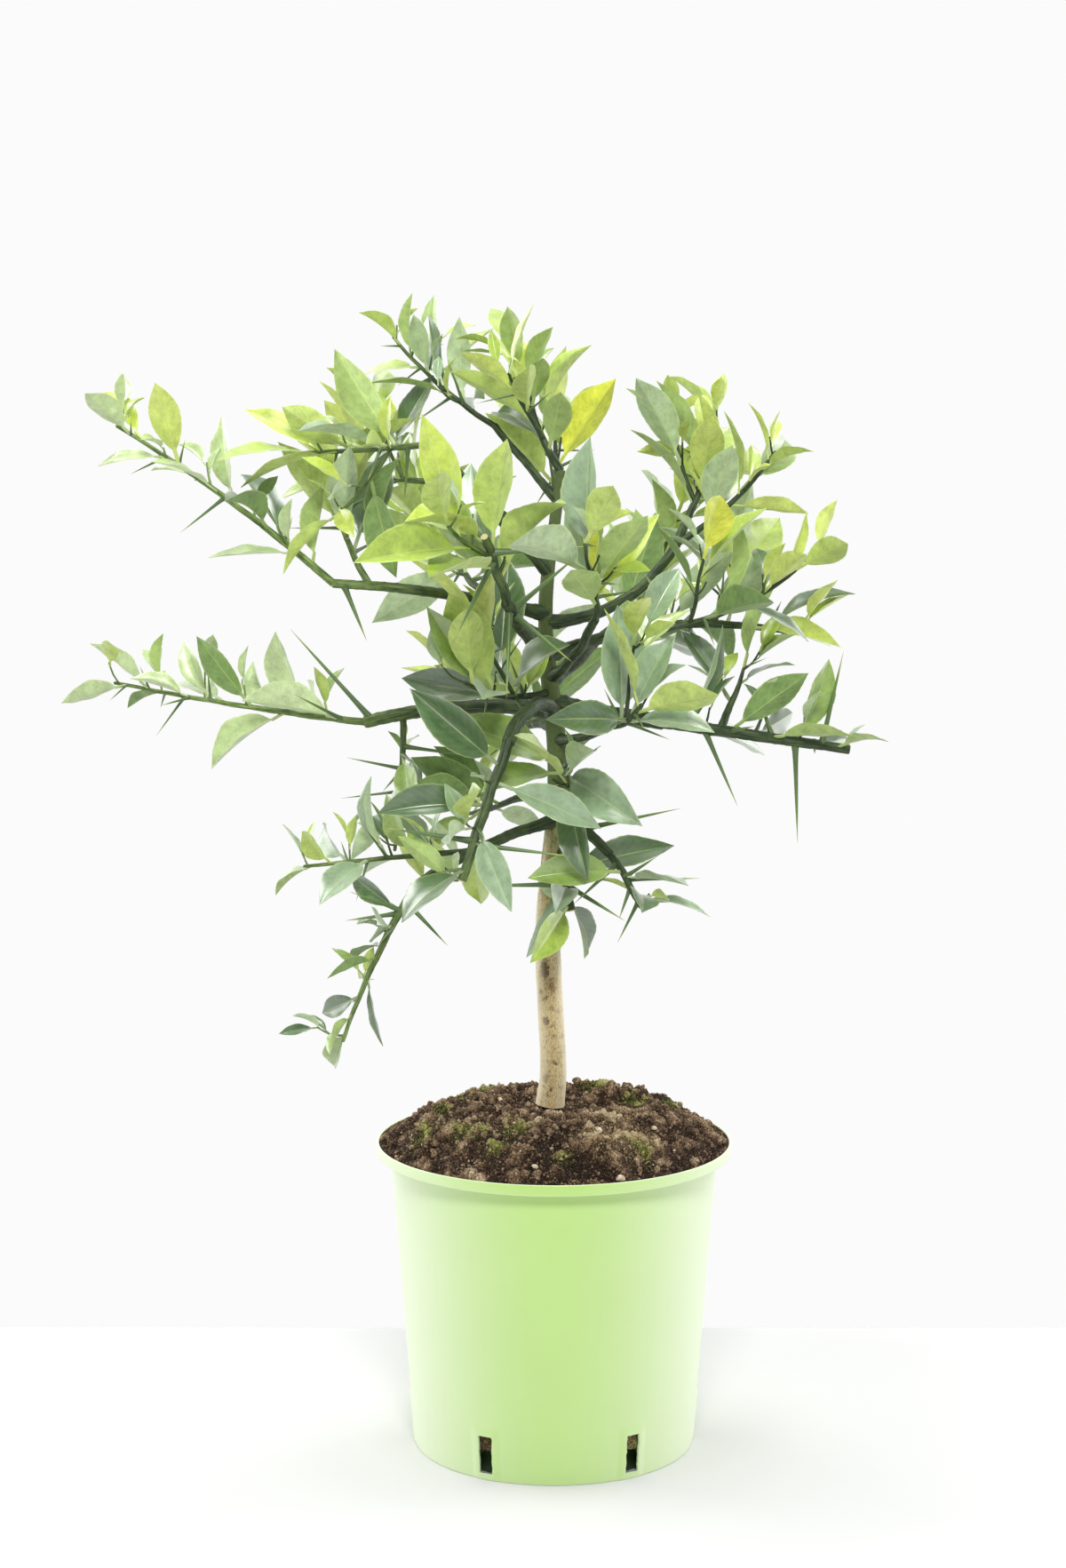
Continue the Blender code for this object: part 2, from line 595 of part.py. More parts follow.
def add_growth(name, stem, pieces, parent, collection, material):
    """One Boolean union fuses the pieces to their stem, and the swollen parent cuts its foot clear."""
    growth = add_object(name, stem, collection)
    helpers = bpy.data.collections.new("pieces")
    bpy.context.scene.collection.children.link(helpers)
    parts = [add_object("piece", piece, helpers) for piece in pieces]
    if parts:
        union = growth.modifiers.new("union", "BOOLEAN")
        union.operation = "UNION"
        union.operand_type = "COLLECTION"
        union.collection = helpers
    cutter = add_object("cutter", swollen_mesh(parent), bpy.context.scene.collection)
    cut = growth.modifiers.new("cut", "BOOLEAN")
    cut.operation = "DIFFERENCE"
    cut.object = cutter
    mesh = plain_mesh(growth)
    growth.modifiers.clear()
    growth.data = mesh
    largest_body(mesh)
    for part in [*parts, cutter]:
        bpy.data.objects.remove(part)
    bpy.data.collections.remove(helpers)
    mesh.materials.clear()
    mesh.materials.append(material)
    return growth


def wall_radius(height):
    """The outside of the pot's wall, which widens evenly from its foot to its neck."""
    return FOOT_RADIUS + (NECK_RADIUS - FOOT_RADIUS) * height / POT_HEIGHT


def inner_profile(step_in):
    """The pot's inside from the middle of its floor up to the shelf's edge, moved in by a clearance."""
    shelf = SHELF_HEIGHT + step_in
    return [
        (0.0, POT_WALL + step_in),
        (WELL_RADIUS - POT_WALL - step_in, POT_WALL + step_in),
        (SHELF_RADIUS - POT_WALL - step_in, shelf),
        (wall_radius(shelf) - POT_WALL - step_in, shelf),
    ]


def pot_profile():
    """Up the inside, out into the collar, over the rim, down the outside and in under the floor."""
    top = POT_HEIGHT
    step = POT_HEIGHT - COLLAR_DEPTH
    under = SHELF_HEIGHT - POT_WALL
    ease = POT_WALL / 4
    return inner_profile(0.0) + [
        (wall_radius(step) - POT_WALL, step + POT_WALL),
        (RIM_RADIUS - POT_WALL, step + POT_WALL),
        (RIM_RADIUS - POT_WALL, top - ease),
        (RIM_RADIUS - POT_WALL + ease, top),
        (RIM_RADIUS - ease, top),
        (RIM_RADIUS, top - ease),
        (RIM_RADIUS, step),
        (wall_radius(step), step),
        (wall_radius(POT_WALL), POT_WALL),
        (FOOT_RADIUS - POT_WALL / 2, 0.0),
        (FOOT_RADIUS - POT_WALL, 0.0),
        (wall_radius(under) - POT_WALL, under),
        (SHELF_RADIUS, under),
        (WELL_RADIUS, 0.0),
        (0.0, 0.0),
    ]


def turned_object(name, profile, collection):
    """A profile that runs down its outer side, turned round the axis with a Screw modifier."""
    mesh = bpy.data.meshes.new(name)
    points = [(radius, 0.0, height) for radius, height in profile]
    mesh.from_pydata(points, [(i, i + 1) for i in range(len(points) - 1)], [])
    turned = add_object(name, mesh, collection)
    screw = turned.modifiers.new("turn", "SCREW")
    screw.steps = ROUND_STEPS
    screw.render_steps = ROUND_STEPS
    screw.use_merge_vertices = True
    screw.merge_threshold = 0.00001
    return turned


def make_pot(parts, cutters):
    pot = turned_object("pot", pot_profile(), parts)
    height = SLOT_TOP - SLOT_BOTTOM
    middle = (SLOT_TOP + SLOT_BOTTOM) / 2
    for slot in range(SLOT_COUNT):
        bpy.ops.mesh.primitive_cube_add(size=1.0)
        cutter = bpy.context.object
        cutter.name = f"slot_{slot + 1}"
        cutter.dimensions = (SLOT_REACH, SLOT_WIDTH, height)
        turn = math.radians(SLOT_TURN + 360 * slot / SLOT_COUNT)
        radius = wall_radius(SLOT_TOP) + POT_WALL - SLOT_REACH / 2
        cutter.location = (radius * math.cos(turn), radius * math.sin(turn), middle)
        cutter.rotation_euler = (0.0, 0.0, turn)
        cutter.hide_render = True
        cutter.display_type = "WIRE"
        for holder in cutter.users_collection:
            holder.objects.unlink(cutter)
        cutters.objects.link(cutter)
    cut = pot.modifiers.new("slots", "BOOLEAN")
    cut.operation = "DIFFERENCE"
    cut.operand_type = "COLLECTION"
    cut.collection = cutters
    pot.data.materials.append(finish("green_plastic", (0.58, 0.80, 0.31), 0.38))


def soil_height(radius):
    """The mound is nearly flat round the trunk and falls to the rim."""
    slope = min(max((radius - SOIL_FLAT) / (RIM_RADIUS - SOIL_FLAT), 0.0), 1.0)
    return GROUND - GAP - (GROUND - SOIL_EDGE) * slope ** 1.8


def make_soil(parts):
    """The soil fills the pot to its rim and heaps up in clods, but is level where the trunk stands."""
    edge = RIM_RADIUS - POT_WALL - GAP
    step = POT_HEIGHT - COLLAR_DEPTH
    heap = [(0.0, soil_height(0.0)), (SOIL_SEAT, soil_height(0.0))]
    for ring in range(1, SOIL_RINGS + 1):
        radius = SOIL_SEAT + (edge - SOIL_SEAT) * ring / SOIL_RINGS
        heap.append((radius, soil_height(radius)))
    collar = [(edge, step + POT_WALL + GAP), (wall_radius(step) - POT_WALL - GAP, step + POT_WALL + GAP)]
    turned = turned_object("soil", heap + collar + inner_profile(GAP)[::-1], parts)
    mesh = plain_mesh(turned)
    turned.modifiers.clear()
    turned.data = mesh
    draw = random.Random(CLOD_SEED)
    clods = []
    for _ in range(CLOD_COUNT):
        reach = draw.uniform(*CLOD_REACH)
        turn = draw.uniform(0, 2 * math.pi)
        clods.append((reach * math.cos(turn), reach * math.sin(turn), draw.uniform(*CLOD_SIZE)))
    for vertex in mesh.vertices:
        x, y, z = vertex.co
        radius = math.hypot(x, y)
        if z < soil_height(edge) + GAP / 2 or radius < SOIL_SEAT + GAP or radius > edge - GAP:
            continue
        heave = 0.0
        for a, b, size in clods:
            heave += CLOD_HEIGHT * size * math.exp(-((x - a) ** 2 + (y - b) ** 2) / size ** 2)
        vertex.co.z += heave * min(1.0, (radius - SOIL_SEAT) / SOIL_SEAT)
    mesh.materials.append(finish("potting_soil", (0.08, 0.045, 0.025), 0.95))


def make_trunk(limbs, parts, bark):
    """The trunk is cut off flat at ground level."""
    trunk = limbs["trunk"]
    mesh = tube_mesh(trunk.points, trunk.radii, TRUNK_SIDES)
    for vertex in mesh.vertices:
        if vertex.co.z < GROUND + GAP * 10:
            vertex.co.z = GROUND
    add_object("trunk", mesh, parts)
    mesh.materials.append(bark)


def main():
    for obj in list(bpy.data.objects):
        bpy.data.objects.remove(obj)
    parts = bpy.data.collections.new("potted_yuzu_tree")
    cutters = bpy.data.collections.new("cutters")
    for collection in (parts, cutters):
        bpy.context.scene.collection.children.link(collection)
    make_pot(parts, cutters)
    make_soil(parts)
    limbs, twigs, thorns, leaves = grow_tree()
    make_trunk(limbs, parts, finish("pale_bark", (0.60, 0.47, 0.28), 0.8))
    green_bark = finish("green_bark", (0.10, 0.17, 0.04), 0.6)
    foliage = finish("foliage", (0.15, 0.31, 0.05), 0.45)
    for row in BOUGHS + SHOOTS:
        limb = limbs[row.name]
        pieces = [tube_mesh(twig.points, twig.radii, STEM_SIDES) for twig in twigs if twig.name == row.name]
        pieces += [thorn_mesh(thorn) for thorn in thorns if thorn.limb == row.name]
        pieces += [leaf_mesh(leaf) for leaf in leaves if leaf.mass == row.name]
        sides, material = (LIMB_SIDES, green_bark) if isinstance(row, Bough) else (STEM_SIDES, foliage)
        stem = tube_mesh(limb.points, limb.radii, sides)
        add_growth(row.name, stem, pieces, limbs[limb.parent], parts, material)
    print(f"{len(leaves)} leaves, {len(thorns)} thorns and {len(twigs)} side twigs on {len(limbs)} limbs")


main()
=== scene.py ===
# %% [markdown]
# # A young yuzu tree in a nursery pot
#
# The finished piece is a thorny citrus plant: a light green plastic pot, crumbly compost, a slim beige
# trunk and an open crown of glossy leaves. The plain solids of the part are loaded first and never moved.
# Each of them is then replaced by a detailed mesh that fills the same space, and every mesh is handed back
# with the body it rides on.

import json
import math
import random
from collections import namedtuple

import bmesh
import bpy
import numpy as np
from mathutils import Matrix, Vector, noise
from mathutils.bvhtree import BVHTree

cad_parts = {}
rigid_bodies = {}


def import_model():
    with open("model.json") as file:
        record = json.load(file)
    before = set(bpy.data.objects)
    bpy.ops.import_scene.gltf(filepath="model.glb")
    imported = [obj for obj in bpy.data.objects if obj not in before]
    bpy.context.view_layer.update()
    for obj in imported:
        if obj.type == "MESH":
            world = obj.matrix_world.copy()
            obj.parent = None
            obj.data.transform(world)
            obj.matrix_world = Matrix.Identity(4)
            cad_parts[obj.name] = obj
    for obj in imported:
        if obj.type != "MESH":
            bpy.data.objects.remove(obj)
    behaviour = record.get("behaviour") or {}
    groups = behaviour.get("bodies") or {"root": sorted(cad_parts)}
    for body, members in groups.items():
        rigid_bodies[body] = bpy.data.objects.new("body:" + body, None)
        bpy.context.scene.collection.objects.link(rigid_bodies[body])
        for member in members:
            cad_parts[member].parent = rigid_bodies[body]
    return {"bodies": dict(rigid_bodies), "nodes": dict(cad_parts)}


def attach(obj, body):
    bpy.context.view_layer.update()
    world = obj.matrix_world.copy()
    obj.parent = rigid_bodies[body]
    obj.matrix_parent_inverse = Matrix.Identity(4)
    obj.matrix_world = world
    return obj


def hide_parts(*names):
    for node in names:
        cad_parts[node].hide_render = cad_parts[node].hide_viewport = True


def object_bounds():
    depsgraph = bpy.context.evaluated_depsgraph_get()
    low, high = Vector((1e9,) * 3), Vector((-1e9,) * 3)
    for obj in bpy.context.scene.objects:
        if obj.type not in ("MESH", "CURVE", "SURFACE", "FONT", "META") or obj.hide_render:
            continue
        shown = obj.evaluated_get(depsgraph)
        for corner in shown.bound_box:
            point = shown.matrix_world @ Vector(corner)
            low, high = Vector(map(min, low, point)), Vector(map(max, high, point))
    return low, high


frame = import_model()
CAD_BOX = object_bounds()
BODY = next(iter(frame["bodies"]))
NOISE_SEED = 7
noise.seed_set(NOISE_SEED)
print("the frame has", len(frame["nodes"]), "nodes, and everything rides on", BODY)

# %% [markdown]
# ## Node maths that reads like plain maths
#
# Surfaces and repeated shapes are both worked out in node trees. Adding Math nodes one by one hides the
# formula, so a small class wraps a socket and lets Python's own operators add the nodes. It serves shaders
# and Geometry Nodes alike, and picks Vector Math where one of the two values is a vector. All other nodes
# come from one function.

# %% A wrapped socket
def add_node(tree, kind, sockets=None, output=0, stops=None, **settings):
    """Adds a node, sets it up, fills its sockets with values or links, and wraps one output."""
    node = tree.nodes.new(kind)
    for name, value in settings.items():
        setattr(node, name, value)
    if stops:
        ramp = node.color_ramp
        while len(ramp.elements) < len(stops):
            ramp.elements.new(0.5)
        for element, (place, colour) in zip(ramp.elements, stops):
            element.position = place
            element.color = colour
    for place, value in (sockets or {}).items():
        if isinstance(value, Wire):
            tree.links.new(value.socket, node.inputs[place])
        else:
            node.inputs[place].default_value = value
    return Wire(node.outputs[output])


class Wire:
    """An output socket that can be used in sums."""

    def __init__(self, socket):
        self.socket = socket
        self.tree = socket.id_data
        self.kind = socket.type

    def maths(self, operation, other=None, swapped=False):
        pair = (self, other)
        vectors = [isinstance(value, tuple) or getattr(value, "kind", "") == "VECTOR" for value in pair]
        if swapped:
            pair = (other, self)
        if all(vectors) or vectors[0] and other is None:
            kind = "ShaderNodeVectorMath"
        elif any(vectors) and operation == "MULTIPLY":
            vector, scale = (self, other) if vectors[0] else (other, self)
            return add_node(self.tree, "ShaderNodeVectorMath", {0: vector, "Scale": scale}, operation="SCALE")
        else:
            kind = "ShaderNodeMath"
        sockets = {place: value for place, value in enumerate(pair) if value is not None}
        return add_node(self.tree, kind, sockets, operation=operation)

    def __add__(self, other):
        return self.maths("ADD", other)

    def __sub__(self, other):
        return self.maths("SUBTRACT", other)

    def __mul__(self, other):
        return self.maths("MULTIPLY", other)

    def __truediv__(self, other):
        return self.maths("DIVIDE", other)

    def __rsub__(self, other):
        return self.maths("SUBTRACT", other, swapped=True)

    def __rtruediv__(self, other):
        return self.maths("DIVIDE", other, swapped=True)

    def __pow__(self, other):
        return self.maths("POWER", other)

    __radd__ = __add__
    __rmul__ = __mul__


def parts(vector, axes="XYZ"):
    """The named parts of a vector, each as a wire of its own."""
    return [add_node(vector.tree, "ShaderNodeSeparateXYZ", {0: vector}, axis) for axis in axes]


# %% [markdown]
# ## Finishes
#
# A colour is written as the paint chip would be named, in the 0 to 255 of a screen, and turned into the
# linear values that the shader works in. A finish is one Principled shader: what is the same all over is a
# plain number on its own socket, and only colour, roughness and bump are driven by patterns.

# %% Colours and finishes
def chip(red, green, blue):
    """A screen colour as linear light, with full alpha."""
    return tuple(((value / 255 + 0.055) / 1.055) ** 2.4 for value in (red, green, blue)) + (1.0,)


def finish(name, colour, roughness, specular=0.5):
    """A material with its Principled shader set, and the tree to add patterns to."""
    material = bpy.data.materials.new(name)
    material.use_nodes = True
    shader = material.node_tree.nodes["Principled BSDF"]
    shader.inputs["Base Color"].default_value = colour
    shader.inputs["Roughness"].default_value = roughness
    shader.inputs["Specular IOR Level"].default_value = specular
    return material, material.node_tree, shader


def drive(shader, socket, wire):
    wire.tree.links.new(wire.socket, shader.inputs[socket])


def painted_sheen(material, strength, colour):
    """A painted sheen: a pale layer mixed in by how far the surface turns from the eye, nothing where it
    faces the eye and its full strength at the edge.
    """
    tree = material.node_tree
    facing = add_node(tree, "ShaderNodeLayerWeight", {"Blend": 0.5}, output="Facing")
    factor = (1.0 - (1.0 - facing) ** 2.0) * strength
    white = add_node(tree, "ShaderNodeBsdfPrincipled", {"Base Color": colour, "Roughness": 0.6})
    base = Wire(tree.nodes["Principled BSDF"].outputs[0])
    mixed = add_node(tree, "ShaderNodeMixShader", {0: factor, 1: base, 2: white})
    tree.links.new(mixed.socket, tree.nodes["Material Output"].inputs["Surface"])


def blend(factor, low, high):
    """One colour runs into another as the factor goes from 0 to 1."""
    return add_node(factor.tree, "ShaderNodeMix", {0: factor, 6: low, 7: high}, output=2, data_type="RGBA")


def ramp(factor, *stops):
    """A run of colours, each given as its place from 0 to 1 and its paint chip."""
    stops = [(place, chip(*colour)) for place, colour in stops]
    return add_node(factor.tree, "ShaderNodeValToRGB", {"Fac": factor}, stops=stops)


def between(wire, start, end):
    """Rises from 0 to 1 while the wire goes from start to end."""
    share = (wire - start) * (1.0 / (end - start))
    return add_node(wire.tree, "ShaderNodeMath", {0: share, 1: 0.0}, operation="ADD", use_clamp=True)


# %% Patterns
def object_place(tree, stretch=(1.0, 1.0, 1.0)):
    """Object coordinates in metres, stretched to lengthen or shorten a pattern."""
    place = add_node(tree, "ShaderNodeTexCoord", output="Object")
    return place.maths("MULTIPLY", stretch)


def uv_place(tree, stretch):
    place = add_node(tree, "ShaderNodeUVMap", uv_map="grain")
    return place.maths("MULTIPLY", stretch)


def clouds(place, scale, detail=3.0, roughness=0.55):
    """Soft noise from 0 to 1."""
    sockets = {"Vector": place, "Scale": scale, "Detail": detail, "Roughness": roughness}
    return add_node(place.tree, "ShaderNodeTexNoise", sockets)


def near_spots(place, spots):
    """How near a place is to any of a few upright lines (x, y, reach): 1 on a line, 0 at its reach."""
    x, y = parts(place, "XY")
    nearest = 0.0
    for spot_x, spot_y, reach in spots:
        aside, ahead = x - spot_x, y - spot_y
        close = 1.0 - (aside * aside + ahead * ahead) ** 0.5 * (1.0 / reach)
        nearest = close.maths("MAXIMUM", nearest)
    return nearest


def bump(shader, height, depth):
    """A relief of a given depth in metres, felt by the light only."""
    wire = add_node(height.tree, "ShaderNodeBump", {"Height": height, "Distance": depth, "Strength": 1.0})
    drive(shader, "Normal", wire)


# %% Meshes and shading
def placed(name, data):
    """An object of its own for a mesh, a light or a camera."""
    obj = bpy.data.objects.new(name, data)
    bpy.context.scene.collection.objects.link(obj)
    return obj


def mesh_object(name, mesh, *materials):
    obj = placed(name, mesh)
    for material in materials:
        mesh.materials.append(material)
    return obj


def applied(obj):
    """Turns an object's modifiers into plain mesh."""
    mesh = bpy.data.meshes.new_from_object(obj.evaluated_get(bpy.context.evaluated_depsgraph_get()))
    obj.modifiers.clear()
    obj.data = mesh
    return mesh


def built(name, build):
    """Keeps what was built face by face as a mesh."""
    mesh = bpy.data.meshes.new(name)
    build.to_mesh(mesh)
    build.free()
    return mesh


def triangles(mesh):
    return sum(len(face.vertices) - 2 for face in mesh.polygons)


def smooth(obj, crease):
    """Smooth shading, with an edge kept wherever faces meet at more than the crease angle."""
    obj.data.shade_smooth()
    obj.data.set_sharp_from_angle(angle=math.radians(crease))
    print(obj.name + ":", triangles(obj.data), "triangles")


def limited(value):
    """The value, kept between 0 and 1."""
    return min(max(value, 0.0), 1.0)


# %% [markdown]
# ## The pot
#
# A nursery pot is moulded in one piece of thin polypropylene: a tapered wall that steps out into an upright
# collar, and six drain slots low in the wall, each in a faint raised pad. A shape that is round all over is
# best turned from its profile, so the profile is drawn once and a Screw modifier turns it. The slots
# repeat, so Geometry Nodes set six cutters on a ring for one Boolean.

# %% The pot's sizes
RIM_RADIUS = 0.110
POT_HEIGHT = 0.1915
FOOT_RADIUS = 0.0872
NECK_RADIUS = 0.1016
POT_WALL = 0.0016
COLLAR_DEPTH = 0.0066
WELL_RADIUS = 0.076
SHELF_RADIUS = 0.0795
SHELF_HEIGHT = 0.0175
SLOT_COUNT = 6
SLOT_TURN = 2
SLOT_WIDTH = 0.0088
SLOT_REACH = 0.0104
SLOT_WOBBLE = 0.0007
SLOT_BOTTOM = 0.004
SLOT_TOP = 0.028
PAD_HALF_WIDTH = 0.0074
PAD_TOP = 0.0308
PAD_RISE = 0.0007
PAD_SOFT = 0.0004
SLOT_GRAIN = 150
TURN_STEPS = 288
WALL_RINGS = 60


def wall_radius(height):
    """The outside of the wall, which widens evenly from foot to neck."""
    return FOOT_RADIUS + (NECK_RADIUS - FOOT_RADIUS) * height / POT_HEIGHT


def rounded(corners, steps=4):
    """A line through corners (radius, height, rounding), each eased by its own rounding."""
    points = []
    for i, (x, z, rounding) in enumerate(corners):
        corner = np.array((x, z))
        if rounding == 0.0:
            points.append(corner)
            continue
        before, after = (np.array(corners[near][:2]) - corner for near in (i - 1, i + 1))
        start = corner + before * min(rounding / np.linalg.norm(before), 0.5)
        end = corner + after * min(rounding / np.linalg.norm(after), 0.5)
        for t in np.linspace(0.0, 1.0, steps + 1):
            points.append(start * (1 - t) ** 2 + corner * 2 * t * (1 - t) + end * t ** 2)
    return points


def turned(name, profile):
    """A profile that runs down its outer side, turned round the pot's axis."""
    mesh = bpy.data.meshes.new(name)
    points = [(radius, 0.0, height) for radius, height in profile]
    mesh.from_pydata(points, [(i, i + 1) for i in range(len(points) - 1)], [])
    obj = mesh_object(name, mesh)
    screw = obj.modifiers.new("turn", "SCREW")
    screw.steps = TURN_STEPS
    screw.render_steps = TURN_STEPS
    screw.use_merge_vertices = True
    screw.merge_threshold = 0.00001
    return obj


# %% The wall, the rim and the foot
def pot_corners():
    top, under = POT_HEIGHT, SHELF_HEIGHT - POT_WALL
    step = top - COLLAR_DEPTH
    outer_shelf = wall_radius(SHELF_HEIGHT) - POT_WALL
    wall = [(wall_radius(z), z, 0.0) for z in np.linspace(step - 0.002, 0.006, WALL_RINGS)]
    return [
        (0.0, POT_WALL, 0.0),
        (WELL_RADIUS - POT_WALL, POT_WALL, 0.001),
        (SHELF_RADIUS - POT_WALL, SHELF_HEIGHT, 0.001),
        (outer_shelf, SHELF_HEIGHT, 0.0015),
        (wall_radius(step) - POT_WALL, step + POT_WALL, 0.0008),
        (RIM_RADIUS - POT_WALL, step + POT_WALL, 0.0006),
        (RIM_RADIUS - POT_WALL, top, 0.0007),
        (RIM_RADIUS, top, 0.0007),
        (RIM_RADIUS, step, 0.0007),
        (wall_radius(step), step, 0.0005),
        *wall,
        (FOOT_RADIUS, 0.0, 0.0009),
        (FOOT_RADIUS - POT_WALL, 0.0, 0.0005),
        (wall_radius(under) - POT_WALL, under, 0.001),
        (SHELF_RADIUS, under, 0.001),
        (WELL_RADIUS, 0.0, 0.001),
        (0.0, 0.0, 0.0),
    ]


def raise_pads(mesh):
    """Lifts the wall a little round each slot, with a soft edge."""
    for vertex in mesh.vertices:
        x, y, z = vertex.co
        radius = math.hypot(x, y)
        if radius < wall_radius(z) - POT_WALL / 3 or z > PAD_TOP + 0.003:
            continue
        turn = (math.degrees(math.atan2(y, x)) - SLOT_TURN) % (360 / SLOT_COUNT)
        turn = min(turn, 360 / SLOT_COUNT - turn)
        aside = math.radians(turn) * radius
        across = limited((PAD_HALF_WIDTH + PAD_SOFT - aside) / (2 * PAD_SOFT))
        upward = limited((PAD_TOP + 2 * PAD_SOFT - z) / (4 * PAD_SOFT))
        lift = PAD_RISE * across * upward
        vertex.co.x += lift * x / radius
        vertex.co.y += lift * y / radius


pot = turned("pot_shell", rounded(pot_corners()))
raise_pads(applied(pot))
print("the turned pot has", len(pot.data.polygons), "faces")

# %% Helpers for Geometry Nodes
def geometry_tree(name, inputs):
    """A Geometry Nodes tree with named inputs after its geometry, and those inputs, wrapped."""
    tree = bpy.data.node_groups.new(name, "GeometryNodeTree")
    tree.interface.new_socket("Geometry", in_out="OUTPUT", socket_type="NodeSocketGeometry")
    tree.interface.new_socket("Geometry", in_out="INPUT", socket_type="NodeSocketGeometry")
    for title, kind in inputs.items():
        tree.interface.new_socket(title, in_out="INPUT", socket_type=f"NodeSocket{kind}")
    entry = tree.nodes.new("NodeGroupInput")
    return tree, {socket.name: Wire(socket) for socket in entry.outputs if socket.name}


def end_tree(geometry, material=None):
    """Ends a tree. With a material, its instances are made real first and get that material."""
    if material:
        geometry = add_node(geometry.tree, "GeometryNodeRealizeInstances", {"Geometry": geometry})
        sockets = {"Geometry": geometry, "Material": material}
        geometry = add_node(geometry.tree, "GeometryNodeSetMaterial", sockets)
    out = geometry.tree.nodes.new("NodeGroupOutput")
    geometry.tree.links.new(geometry.socket, out.inputs[0])
    return geometry.tree


def grow_nodes(obj, tree, values):
    """Runs a tree on an object, with its inputs set by identifier, and keeps the result as plain mesh."""
    modifier = obj.modifiers.new(tree.name, "NODES")
    modifier.node_group = tree
    for item in tree.interface.items_tree:
        if item.in_out == "INPUT" and item.name in values:
            modifier[item.identifier] = values[item.name]
    mesh = applied(obj)
    if mesh.materials and mesh.materials[0] is None:
        mesh.materials.pop(index=0)
    return mesh


def attribute(tree, name, kind="FLOAT"):
    return add_node(tree, "GeometryNodeInputNamedAttribute", {"Name": name}, data_type=kind)


def stored(geometry, name, value, kind):
    """The geometry with a value kept on its points as a named attribute."""
    sockets = {"Geometry": geometry, "Name": name, "Value": value}
    kept = {"data_type": kind, "domain": "POINT"}
    return add_node(geometry.tree, "GeometryNodeStoreNamedAttribute", sockets, **kept)


# %% Six cutters on a ring
def cutter_tree():
    """Boxes on a ring, each turned to face outwards."""
    inputs = {"Ring": "Float", "Size": "Vector", "Material": "Material"}
    tree, given = geometry_tree("slot_cutters", inputs)
    ring = add_node(tree, "GeometryNodeMeshCircle", {"Vertices": SLOT_COUNT, "Radius": given["Ring"]})
    box = add_node(tree, "GeometryNodeMeshCube", {"Size": given["Size"], "Vertices Z": 13})
    place = add_node(tree, "GeometryNodeInputPosition")
    outward = add_node(tree, "FunctionNodeAlignRotationToVector", {"Vector": place}, axis="X")
    sockets = {"Points": ring, "Instance": box, "Rotation": outward}
    return end_tree(add_node(tree, "GeometryNodeInstanceOnPoints", sockets), given["Material"])


def cut_slots(obj, material):
    """Cuts the slots with boxes whose edges waver a little, as those of a trimmed moulding do."""
    middle = (SLOT_BOTTOM + SLOT_TOP) / 2
    cutters = mesh_object("cutters", bpy.data.meshes.new("cutters"))
    values = {
        "Ring": wall_radius(SLOT_TOP) + POT_WALL - SLOT_REACH / 2,
        "Size": (SLOT_REACH, SLOT_WIDTH, SLOT_TOP - SLOT_BOTTOM),
        "Material": material,
    }
    mesh = grow_nodes(cutters, cutter_tree(), values)
    turn = math.radians(SLOT_TURN)
    for vertex in mesh.vertices:
        x, y, z = vertex.co
        ragged = SLOT_WOBBLE * noise.noise_vector(Vector((x, y, z * 2.5)) * SLOT_GRAIN)
        vertex.co.x = x * math.cos(turn) - y * math.sin(turn) + ragged.x
        vertex.co.y = x * math.sin(turn) + y * math.cos(turn) + ragged.y
        vertex.co.z = z + middle
    cut = obj.modifiers.new("slots", "BOOLEAN")
    cut.operation = "DIFFERENCE"
    cut.object = cutters
    applied(obj)
    bpy.data.objects.remove(cutters)


# %% [markdown]
# ### The pot's plastic
#
# Green polypropylene has a soft sheen: light spreads over it. Where the eye meets it at a slant it is
# whitened by a painted sheen, and the wall's inner faces are painted dark green as painted shade for the
# hollow inside the pot. The mould leaves a faint grain, and handling leaves a few dull patches, so roughness
# wanders a little.

# %% The pot's plastic
def pot_plastic():
    material, tree, shader = finish("green_plastic", chip(174, 211, 113), 0.34, specular=0.42)
    place = object_place(tree)
    patches = clouds(place, 14.0, detail=4.0)
    grain = clouds(place, 1500.0, detail=2.0)
    x, y, z = parts(place)
    inward = z * ((NECK_RADIUS - FOOT_RADIUS) / POT_HEIGHT) + FOOT_RADIUS - (x * x + y * y) ** 0.5
    outside = 1.0 - between(inward, POT_WALL * 0.3, POT_WALL * 0.7)
    fresh = blend(patches, chip(170, 208, 108), chip(180, 216, 119))
    # The wall's inner faces are painted dark green: painted shade for the hollow inside the pot.
    drive(shader, "Base Color", blend(outside, chip(52, 74, 40), fresh))
    drive(shader, "Roughness", patches * 0.16 + 0.28)
    bump(shader, grain, 0.00002)
    # A painted sheen whitens the outer face towards its outline.
    painted_sheen(material, outside * 0.84, chip(244, 252, 230))
    return material


plastic = pot_plastic()
cut_slots(pot, plastic)
pot.data.materials.clear()
pot.data.materials.append(plastic)
smooth(pot, 35)

# %% [markdown]
# ## The compost
#
# The pot is heaped with dark peaty compost: a low mound of clods, loose crumbs of every size, some pale
# stones, tufts of moss and patches of dry grit. A flat disc with a bump would give a smooth outline against
# the white, so the mound is a real relief, and thousands of crumbs are scattered over it by Geometry Nodes.

